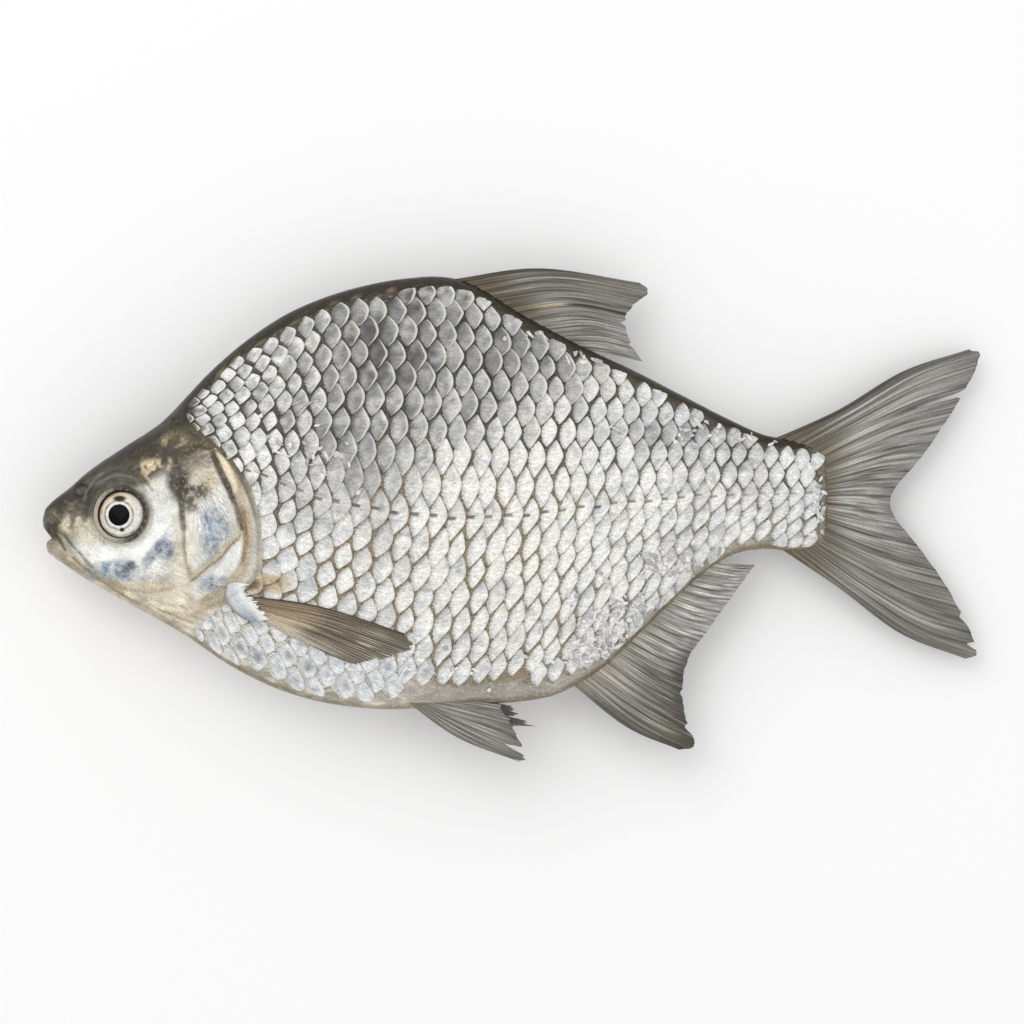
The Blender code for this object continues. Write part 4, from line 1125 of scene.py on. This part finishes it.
def dorsal_colour(across, out, ridge):
    """As the other fins, with one black ray that is cream at its start."""
    sunken = fall(np.abs(across - 0.5), 0.004, 0.02)
    return washes(fin_colour(DORSAL_TONES, 21, across, out, ridge), [
        ((166, 165, 160), 0.55 * smooth_step(across, 0.5, 0.7)),
        ((26, 23, 18), 0.9 * sunken * smooth_step(out, 0.42, 0.6)),
        ((226, 200, 158), 0.8 * sunken * smooth_step(out, 0.16, 0.3) * fall(out, 0.4, 0.5)),
    ])


def anal_colour(across, out, ridge):
    """As the other fins, with dark webs and cream streaks towards the first ray."""
    front = fall(across, 0.25, 0.6)
    streak = smooth_step(cloud(across * 140.0, out * 1.6, 1.0, 51), 0.66, 0.9)
    return washes(fin_colour(ANAL_TONES, 22, across, out, ridge, 0.66), [
        ((88, 85, 75), 0.6 * front * smooth_step(out, 0.1, 0.5)),
        ((214, 202, 176), 0.75 * front * streak),
    ])


def tail_colour(across, out, ridge):
    """As the other fins, with a darker lower lobe that has pale streaks."""
    low = smooth_step(across, 0.55, 0.8)
    streak = smooth_step(cloud(across * 150.0, out * 1.8, 1.0, 52), 0.7, 0.92)
    return washes(fin_colour(TAIL_TONES, 23, across, out, ridge), [
        ((94, 90, 80), 0.45 * low * smooth_step(out, 0.15, 0.5)),
        ((208, 202, 186), 0.4 * low * streak),
    ])


def pelvic_colour(tones, seed):
    """As the other fins, in the tones of one of the pair."""
    return lambda across, out, ridge: fin_colour(tones, seed, across, out, ridge)


def flap_colour(across, out, ridge):
    """Bluish white: grey at its root, whitest towards its margin."""
    return washes(plain((216, 220, 222), across.shape), [
        ((150, 162, 176), 0.8 * smooth_step(across, 0.5, 1.0)),
        ((128, 124, 114), 0.7 * fall(out, 0.0, 0.16)),
        ((255, 255, 252), 0.9 * smooth_step(out, 0.35, 0.7)),
    ])


def pectoral_colour(seed):
    """Tan membrane near the base, dark brown rays with pale streaks, a dark upper edge, and lower rays
    painted pale as light showing through the thin web.
    """
    def colour(across, out, ridge):
        streak = cloud(across * 110.0, out * 5.0, 1.0, seed)
        made = washes(plain((172, 152, 128), across.shape), [
            ((238, 222, 192), smooth_step(across, 0.35, 0.7) * fall(out, 0.3, 0.6)),
            ((176, 169, 154), 0.8 * smooth_step(out, 0.4, 0.7)),
            ((76, 69, 56), smooth_step(out, 0.3, 0.6) * (0.2 + 0.75 * ridge)),
            ((220, 208, 184), 0.8 * smooth_step(streak, 0.72, 0.95) * smooth_step(out, 0.2, 0.5)),
            # Painted light: the lower rays pale, as light showing through the thin web
            ((228, 222, 206), 0.9 * smooth_step(across, 0.55, 0.95) * fall(out, 0.6, 1.0)),
            ((66, 58, 45), 0.85 * fall(across, 0.02, 0.08)),
        ])
        return made * (0.88 + 0.24 * streak)[..., None]
    return colour


# Loose flakes

def flakes(look):
    """Loose silver flakes of torn scales, strewn where the fish was handled."""
    rng = np.random.default_rng(71)
    points, faces, tint = [], [], []
    sides = FLAKE_CORNERS
    angle = np.linspace(0, 2 * np.pi, sides, endpoint=False)
    for centre, radii, number in FLAKE_PATCHES:
        for _ in range(number):
            x, y = np.array(centre) + np.array(radii) * rng.standard_normal(2) * 0.6
            length, width = 0.7 + 1.4 * rng.random() ** 2, 0.3 + 0.5 * rng.random()
            turn = rng.random() * np.pi
            ragged = 0.6 + 0.8 * rng.random(sides)
            a, b = length * ragged * np.cos(angle), width * ragged * np.sin(angle)
            px, py = x + a * np.cos(turn) - b * np.sin(turn), y + a * np.sin(turn) + b * np.cos(turn)
            if np.any(np.abs(flank_share(px, py)) > 0.97) or px.max() > FLAKES_END_X:
                continue
            low = along(MIDDLE_PLANE, px) + np.maximum(half_thickness(px, py), 1.0) + 0.02
            tip = 0.06 * rng.random() * np.cos(angle)
            first = len(points)
            for height in (low - FLAKE_HALF, low + FLAKE_HALF + tip):
                points += np.stack([px, py, height], axis=-1).tolist()
            ring = np.arange(sides)
            faces.append((first + ring[::-1]).tolist())
            faces.append((first + sides + ring).tolist())
            for i in range(sides):
                j = (i + 1) % sides
                faces.append([first + i, first + j, first + sides + j, first + sides + i])
            shade = 255 - 75 * rng.random() ** 1.4
            tint += [(shade, shade * 0.995, shade * (0.97 + 0.03 * rng.random()))] * (2 * sides)
    marks = {"tint": tint, "flecks": np.full(len(points), 0.1), "brushing": np.array(points)}
    return piece("loose_flakes", points, faces, look, marks)


# Eyes

def eye_frame(side):
    """Where the eyeball's middle lies, and the way it looks: square to the flank around it."""
    x, y = EYE
    reach = EYE_RADIUS + SOCKET_MARGIN
    slope_x = (half_thickness(x + reach, y) - half_thickness(x - reach, y)) / (2 * reach)
    slope_y = (half_thickness(x, y + reach) - half_thickness(x, y - reach)) / (2 * reach)
    look = Vector((-slope_x, -slope_y, 1.0)).normalized()
    height = half_thickness(x + reach, y) / 2 + half_thickness(x - reach, y) / 2
    middle = Vector((x, y, height)) + look * (EYE_PROUD - EYE_DEPTH)
    look.z *= side
    middle.z = along(MIDDLE_PLANE, x) + side * middle.z
    return np.array(Matrix.Translation(middle) @ look.to_track_quat("Z", "Y").to_matrix().to_4x4())


def placed(points, placing):
    """Points moved and turned to where an eye lies."""
    return points @ placing[:3, :3].T + placing[:3, 3]


def eye_tint(x, y, away):
    """Colour over the front of an eyeball: silver iris, gold and grey arcs, a dark rim of painted shade
    towards the gill cover and a black pupil.
    """
    flat_x, flat_y = x - EYE[0], y - EYE[1]
    pupil = np.hypot(x - PUPIL[0], y - PUPIL[1])
    bearing = np.arctan2(flat_y, flat_x)
    upper_left = 0.5 + 0.5 * np.cos(bearing - 2.2)
    arcs = cloud(away * 3.4 + 40, bearing * 3.0 + 40, 1.0, 42)
    return washes(plain(EYE_SILVER, away.shape), [
        (IRIS_CLOUD, 0.7 * smooth_step(arcs, 0.5, 0.95) * smooth_step(away, 3.9, 4.6)),
        (IRIS_TAN, 0.6 * upper_left ** 3 * smooth_step(away, 5.6, 6.6)),
        (IRIS_GOLD, 0.8 * upper_left * fall(np.abs(away - 5.4), 0.2, 0.9)),
        (IRIS_WHITE, 0.85 * (1 - upper_left) * fall(np.abs(away - 5.5), 0.3, 1.1)),
        (IRIS_GREY, 0.8 * fall(np.abs(pupil - 4.3), 0.1, 0.5) * (0.3 + 0.7 * arcs)),
        (IRIS_MARK, spot(flat_x, flat_y, (-0.4, 4.7), (1.9, 0.9))),
        (IRIS_DOT, spot(flat_x, flat_y, (0.4, -4.6), (0.7, 0.6))),
        (IRIS_RIM_SHADE, 0.85 * eye_shade(x, y) ** 2 * smooth_step(away, 6.6, 7.05)),
        (PUPIL_EDGE, fall(np.abs(pupil - 3.4), 0.06, 0.2)),
        (PUPIL_BLACK, fall(pupil, PUPIL_RADIUS - 0.1, PUPIL_RADIUS + 0.06)),
    ])


def eye(name, side, look):
    """One eyeball: a lens with a raised ring round the pupil, silver iris and black pupil."""
    away = np.linspace(0, 1, EYE_RINGS + 1) ** 0.9 * EYE_RADIUS
    away, angle = np.meshgrid(away, np.linspace(0, 2 * np.pi, EYE_TURNS, endpoint=False))
    x, y = away * np.cos(angle), away * np.sin(angle)
    dome = EYE_DEPTH * np.maximum(1 - (away / EYE_RADIUS) ** EYE_FULLNESS, 0) ** (1 / EYE_FULLNESS)
    ring = 0.05 * np.exp(-(((away - 3.6) / 0.3) ** 2)) - 0.12 * np.exp(-(((away - 5.6) / 0.8) ** 2))
    fade = smooth_step(EYE_RADIUS - away, 0.0, 1.0)
    heights = (dome + ring * fade - 0.08 * fade, -dome)
    upper, lower = (np.stack([x, y, z], axis=-1).reshape(-1, 3) for z in heights)
    i, j = np.meshgrid(np.arange(EYE_TURNS), np.arange(EYE_RINGS), indexing="ij")
    here, there = i * (EYE_RINGS + 1) + j, ((i + 1) % EYE_TURNS) * (EYE_RINGS + 1) + j
    top = np.stack([here, here + 1, there + 1, there], axis=-1).reshape(-1, 4)
    points = placed(np.concatenate([upper, lower]), eye_frame(side))
    faces = np.concatenate([top, away.size + top[:, ::-1]])
    tint = eye_tint(*points[:away.size, :2].T, away.ravel())
    marks = {"tint": np.concatenate([tint, plain(EYE_BACK, (away.size,))])}
    return piece(name, points, faces, look, marks, weld=True)


def lid(name, side, look):
    """The soft rim of skin that holds the eyeball: tan, with painted shade towards the gill cover, deepest on
    its inner side.
    """
    turn, way = np.meshgrid(*(np.linspace(0, 2 * np.pi, n, endpoint=False) for n in (EYE_TURNS, LID_STEPS)),
                            indexing="ij")
    away = LID_RADIUS + LID_WIDTH * (1 + 0.15 * np.sin(turn - 0.4)) * np.cos(way)
    z = EYE_DEPTH - EYE_PROUD - 0.15 + LID_HEIGHT * np.sin(way)
    points = np.stack([away * np.cos(turn), away * np.sin(turn), z], axis=-1).reshape(-1, 3)
    points = placed(points, eye_frame(side))
    i, j = np.meshgrid(np.arange(EYE_TURNS), np.arange(LID_STEPS), indexing="ij")
    steps = ((0, 0), (1, 0), (1, 1), (0, 1))
    corners = [((i + a) % EYE_TURNS) * LID_STEPS + (j + b) % LID_STEPS for a, b in steps]
    faces = np.stack(corners, axis=-1).reshape(-1, 4)
    # Painted shade on the lid: darker towards the gill cover, deepest on its inner side
    high = eye_shade(points[:, 0], points[:, 1])
    inner = smooth_step(-np.cos(way), 0.1, 0.8).ravel()
    tint = washes(plain(LID_TAN, (len(points),)), [(LID_SHADE, high), (LID_INNER_SHADE, 0.7 * high ** 1.5 * inner)])
    marks = {"tint": tint, "flecks": np.full(len(points), 0.2), "brushing": points}
    return piece(name, points, faces, look, marks, weld=True)


# Materials

def add(tree, kind, feeds=None, **settings):
    """Adds a node, with its settings and with what feeds its inputs: a socket, or a fixed value."""
    made = tree.nodes.new(kind)
    for name, value in settings.items():
        setattr(made, name, value)
    for key, value in (feeds or {}).items():
        if isinstance(value, bpy.types.NodeSocket):
            tree.links.new(value, made.inputs[key])
        else:
            made.inputs[key].default_value = value
    return made


def maths(tree, operation, *values):
    """The result of one operation on sockets or fixed values."""
    return add(tree, "ShaderNodeMath", dict(enumerate(values)), operation=operation).outputs[0]


def ramp(tree, value, low, high, start=0.0, end=1.0):
    """Maps a value smoothly from low..high to start..end."""
    feeds = {"Value": value, "From Min": low, "From Max": high, "To Min": start, "To Max": end}
    return add(tree, "ShaderNodeMapRange", feeds, interpolation_type="SMOOTHSTEP").outputs["Result"]


def blend(tree, share, under, over, kind="MIX"):
    """Mixes two colours by a share."""
    made = add(tree, "ShaderNodeMix", {0: share, 6: under, 7: over}, data_type="RGBA", blend_type=kind)
    return made.outputs[2]


def times(tree, first, *others):
    """The product of several values."""
    for other in others:
        first = maths(tree, "MULTIPLY", first, other)
    return first


def shaded(tree, colour, *shades):
    """A colour darkened or lightened by each shade in turn."""
    for shade in shades:
        colour = blend(tree, 1.0, colour, shade, "MULTIPLY")
    return colour


def noise(tree, place, scale, detail, roughness=0.5):
    """Cloudy values over a place."""
    feeds = {"Vector": place, "Scale": scale, "Detail": detail, "Roughness": roughness}
    return add(tree, "ShaderNodeTexNoise", feeds).outputs[0]


def mark(tree, label, output):
    """A value or colour that the mesh carries."""
    return add(tree, "ShaderNodeAttribute", attribute_name=label).outputs[output]


def parts(tree, label):
    """The three parts of a vector that the mesh carries."""
    return add(tree, "ShaderNodeSeparateXYZ", {0: mark(tree, label, "Vector")}).outputs


def vector(tree, x, y, z):
    """A vector of three values."""
    return add(tree, "ShaderNodeCombineXYZ", {"X": x, "Y": y, "Z": z}).outputs[0]


def group(name, inputs, outputs):
    """An empty node group with named inputs and outputs."""
    tree = bpy.data.node_groups.new(name, "ShaderNodeTree")
    for label, kind, value in inputs:
        socket = tree.interface.new_socket(label, in_out="INPUT", socket_type=kind)
        socket.default_value = value
    for label, kind in outputs:
        tree.interface.new_socket(label, in_out="OUTPUT", socket_type=kind)
    return tree, tree.nodes.new("NodeGroupInput").outputs, tree.nodes.new("NodeGroupOutput").inputs


def wet_film():
    """Slime and grain on every wet surface: mottling, uneven gloss and fine relief."""
    tree, given, out = group(
        "wet_film",
        [("Grain Scale", "NodeSocketFloat", 1400.0), ("Blotch Scale", "NodeSocketFloat", 160.0)],
        [("Mottle", "NodeSocketFloat"), ("Gloss", "NodeSocketFloat"), ("Height", "NodeSocketFloat")],
    )
    place = add(tree, "ShaderNodeTexCoord").outputs["Object"]
    grain = noise(tree, place, given["Grain Scale"], 3.0)
    blotch = noise(tree, place, given["Blotch Scale"], 4.0)
    tree.links.new(grain, out["Mottle"])
    tree.links.new(ramp(tree, blotch, 0.35, 0.65), out["Gloss"])
    tree.links.new(maths(tree, "MULTIPLY_ADD", blotch, 0.6, grain), out["Height"])
    return tree


def fleck_spots():
    """Small dark pigment cells and bright silver flecks, scattered by strength."""
    tree, given, out = group(
        "fleck_spots",
        [("Strength", "NodeSocketFloat", 0.3), ("Spot Scale", "NodeSocketFloat", 900.0)],
        [("Dark", "NodeSocketFloat"), ("Bright", "NodeSocketFloat")],
    )
    place = add(tree, "ShaderNodeTexCoord").outputs["Object"]
    dark = ramp(tree, noise(tree, place, given["Spot Scale"], 5.0, 0.65), 0.5, 0.62)
    bright = ramp(tree, noise(tree, place, 900.0, 5.0, 0.65), 0.53, 0.62)
    tree.links.new(times(tree, dark, given["Strength"]), out["Dark"])
    tree.links.new(times(tree, bright, given["Strength"]), out["Bright"])
    return tree


def use(tree, shared, feeds):
    """The outputs of a shared group in one material, with what feeds its inputs."""
    return add(tree, "ShaderNodeGroup", feeds, node_tree=shared).outputs


def material(name, roughness, specular, coat=0.0, coat_roughness=0.1):
    """A new material and its shader, with the constants set on the shader's own sockets."""
    made = bpy.data.materials.new(name)
    made.use_nodes = True
    shader = made.node_tree.nodes["Principled BSDF"]
    shader.inputs["Roughness"].default_value = roughness
    shader.inputs["Specular IOR Level"].default_value = specular
    shader.inputs["Coat Weight"].default_value = coat
    shader.inputs["Coat Roughness"].default_value = coat_roughness
    return made, made.node_tree, shader


def dress(tree, shader, colour, gloss, roughness, height, strength, distance):
    """Feeds a shader its colour, its roughness where the gloss runs from 0 to 1, and its relief."""
    tree.links.new(colour, shader.inputs["Base Color"])
    tree.links.new(ramp(tree, gloss, 0.0, 1.0, *roughness), shader.inputs["Roughness"])
    relief = add(tree, "ShaderNodeBump", {"Height": height, "Strength": strength, "Distance": distance})
    tree.links.new(relief.outputs[0], shader.inputs["Normal"])


def skin_look(film, spots):
    """Bare wet skin of the head, the back and the belly edge."""
    made, tree, shader = material("wet_skin", 0.34, 0.3, 0.12, 0.12)
    wet = use(tree, film, {"Grain Scale": 1900.0, "Blotch Scale": 170.0})
    cells = use(tree, spots, {"Strength": mark(tree, "flecks", "Fac"), "Spot Scale": 1300.0})
    brushed = noise(tree, mark(tree, "brushing", "Vector"), 1.5, 5.0, 0.66)
    shade = ramp(tree, brushed, 0.32, 0.68, 0.56, 1.3)
    colour = blend(tree, mark(tree, "streaks", "Fac"), mark(tree, "tint", "Color"), shade, "MULTIPLY")
    colour = blend(tree, times(tree, cells["Dark"], 0.8), colour, PIGMENT_BROWN)
    colour = blend(tree, times(tree, cells["Bright"], 0.8), colour, GUANINE)
    colour = shaded(tree, colour, ramp(tree, wet["Mottle"], 0.3, 0.7, 0.84, 1.1))
    dress(tree, shader, colour, wet["Gloss"], (0.24, 0.42), wet["Height"], 0.25, 0.0004)
    return made


def scale_look(film, spots):
    """Silver scales: brushed streaks, a painted highlight on the rear rim, and a dark seam where each slips
    under the one in front, partly pigment and partly painted shade.
    """
    made, tree, shader = material("silver_scale", 0.36, 0.35, 0.12, 0.15)
    wet = use(tree, film, {"Grain Scale": 1900.0, "Blotch Scale": 240.0})
    cells = use(tree, spots, {"Strength": 0.4, "Spot Scale": 1500.0})
    place, bedding = parts(tree, "place"), parts(tree, "bedding")
    ruffle = maths(tree, "SUBTRACT", wet["Mottle"], 0.5)
    wander = maths(tree, "MULTIPLY_ADD", ruffle, 0.22, place["X"])
    inset = maths(tree, "MULTIPLY_ADD", ruffle, 0.2, bedding["X"])
    fan = maths(tree, "DIVIDE", place["Y"], maths(tree, "ADD", place["X"], 0.7))
    spread = vector(tree, times(tree, place["X"], 2.2), times(tree, fan, 9.0), times(tree, place["Z"], 61.0))
    streak = noise(tree, spread, 1.2, 5.0, 0.66)
    # The last shade darkens each scale next to its seam: painted shade
    colour = shaded(
        tree, mark(tree, "tint", "Color"),
        ramp(tree, streak, 0.32, 0.68, 0.74, 1.08),
        ramp(tree, wet["Mottle"], 0.3, 0.7, 0.84, 1.1),
        ramp(tree, inset, 0.02, 0.32, 0.66, 1.0),
    )
    colour = blend(tree, times(tree, cells["Dark"], 0.5), colour, SCALE_PIGMENT)
    # Painted highlight along each scale's rear rim, strongest where the flank's contrast is high
    rim = ramp(tree, place["X"], 0.82, 0.93)
    rim = times(tree, rim, maths(tree, "MULTIPLY_ADD", bedding["Y"], 0.6, 0.15))
    colour = blend(tree, rim, colour, SCALE_RIM_HIGHLIGHT)
    # The seam's colour, partly pigment and partly painted shade, at the covered edge and at the tips
    between = shaded(tree, mark(tree, "seam", "Color"), ramp(tree, wet["Mottle"], 0.36, 0.6, 0.5, 1.2))
    colour = blend(tree, times(tree, ramp(tree, inset, 0.0, 0.08, 1.0, 0.0), 0.95), colour, between)
    tip = ramp(tree, maths(tree, "ABSOLUTE", place["Y"]), 0.84, 0.98)
    colour = blend(tree, times(tree, tip, 0.7), colour, between)
    off_line = maths(tree, "ABSOLUTE", maths(tree, "SUBTRACT", place["Y"], 0.07))
    dash = times(
        tree, ramp(tree, off_line, 0.04, 0.12, 1.0, 0.0), ramp(tree, wander, -0.06, 0.06),
        ramp(tree, wander, 0.4, 0.54, 1.0, 0.0), bedding["Z"],
    )
    colour = blend(tree, times(tree, dash, 0.95), colour, DASH_BROWN)
    height = maths(tree, "MULTIPLY_ADD", streak, 1.2, wet["Height"])
    dress(tree, shader, colour, wet["Gloss"], (0.26, 0.44), height, 0.3, 0.0003)
    return made


def combed(tree, place, across, along_ray, detail):
    """Noise that is drawn out along a fin's rays."""
    spread = vector(tree, times(tree, place["X"], across), times(tree, place["Y"], along_ray), 0.0)
    return noise(tree, spread, 1.0, detail, 0.6)


def fin_look(film, spots):
    """Thin grey fin membrane, drawn out in fine streaks along its rays."""
    made, tree, shader = material("fin_membrane", 0.42, 0.35, 0.06, 0.2)
    wet = use(tree, film, {"Grain Scale": 1300.0, "Blotch Scale": 200.0})
    cells = use(tree, spots, {"Strength": 0.5, "Spot Scale": 1400.0})
    place = parts(tree, "place")
    streak = combed(tree, place, 6.0, 1.1, 3.0)
    band = combed(tree, place, 1.6, 1.1, 3.0)
    hair = combed(tree, place, 17.0, 1.3, 2.0)
    colour = shaded(
        tree, mark(tree, "tint", "Color"),
        ramp(tree, streak, 0.34, 0.6, 0.48, 1.36),
        ramp(tree, band, 0.34, 0.66, 0.72, 1.24),
        ramp(tree, hair, 0.36, 0.47, 0.34, 1.04),
    )
    colour = blend(tree, ramp(tree, streak, 0.6, 0.72, 0.0, 0.5), colour, FIN_PALE)
    colour = blend(tree, times(tree, cells["Dark"], 0.4), colour, FIN_PIGMENT)
    height = maths(tree, "MULTIPLY_ADD", streak, 1.6, wet["Height"])
    dress(tree, shader, colour, wet["Gloss"], (0.34, 0.52), height, 0.4, 0.0003)
    return made


def eye_look(film):
    """Wet eyeball under a clear glossy coat."""
    made, tree, shader = material("wet_eye", 0.3, 0.06, 0.1, 0.03)
    wet = use(tree, film, {"Grain Scale": 1600.0, "Blotch Scale": 420.0})
    colour = shaded(tree, mark(tree, "tint", "Color"), ramp(tree, wet["Mottle"], 0.3, 0.7, 0.82, 1.12))
    dress(tree, shader, colour, wet["Gloss"], (0.2, 0.34), wet["Height"], 0.08, 0.0002)
    return made


# Surroundings

def floor():
    """A plain pale floor just below the fish."""
    mesh = bpy.data.meshes.new("floor")
    corners = [(x * FLOOR_REACH, y * FLOOR_REACH, FLOOR_Z) for x, y in ((-1, -1), (1, -1), (1, 1), (-1, 1))]
    mesh.from_pydata(corners, [], [(0, 1, 2, 3)])
    made, _, shader = material("pale_floor", 0.8, 0.2)
    shader.inputs["Base Color"].default_value = FLOOR_WHITE
    mesh.materials.append(made)
    put("floor", mesh)


def area_light(name, place, size, watts):
    """A soft square lamp that is aimed at the middle of the fish."""
    lamp = bpy.data.lights.new(name, "AREA")
    lamp.size = size
    lamp.energy = watts
    made = put(name, lamp)
    made.location = place
    made.rotation_mode = "QUATERNION"
    made.rotation_quaternion = (-Vector(place)).to_track_quat("-Z", "Y")


def surroundings():
    """Pale floor, soft studio light and a camera straight above."""
    floor()
    world = bpy.data.worlds.new("studio")
    world.use_nodes = True
    world.node_tree.nodes["Background"].inputs[0].default_value = STUDIO_WHITE
    world.node_tree.nodes["Background"].inputs[1].default_value = STUDIO_STRENGTH
    bpy.context.scene.world = world
    for lamp in LAMPS:
        area_light(*lamp)
    lens = bpy.data.cameras.new("camera")
    lens.sensor_width = SENSOR_WIDTH
    lens.lens = CAMERA_LENS
    camera = put("camera", lens)
    camera.location = CAMERA_PLACE
    bpy.context.scene.camera = camera
    bpy.context.scene.view_settings.view_transform = "Standard"
    bpy.context.scene.view_settings.look = "None"


def main():
    """The whole fish with its materials, and what surrounds it."""
    film = wet_film()
    spots = fleck_spots()
    bare = skin_look(film, spots)
    silver = scale_look(film, spots)
    membrane = fin_look(film, spots)
    wet_eye = eye_look(film)
    skin(bare)
    scales("scales_left", 1, silver, 101)
    scales("scales_right", -1, silver, 202)
    fins(membrane, bare)
    flakes(bare)
    for name, side in (("left", 1), ("right", -1)):
        ball = eye("eyeball_" + name, side, wet_eye)
        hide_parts("eye_" + name)
        lid("eyelid_" + name, side, bare)
    surroundings()


main()
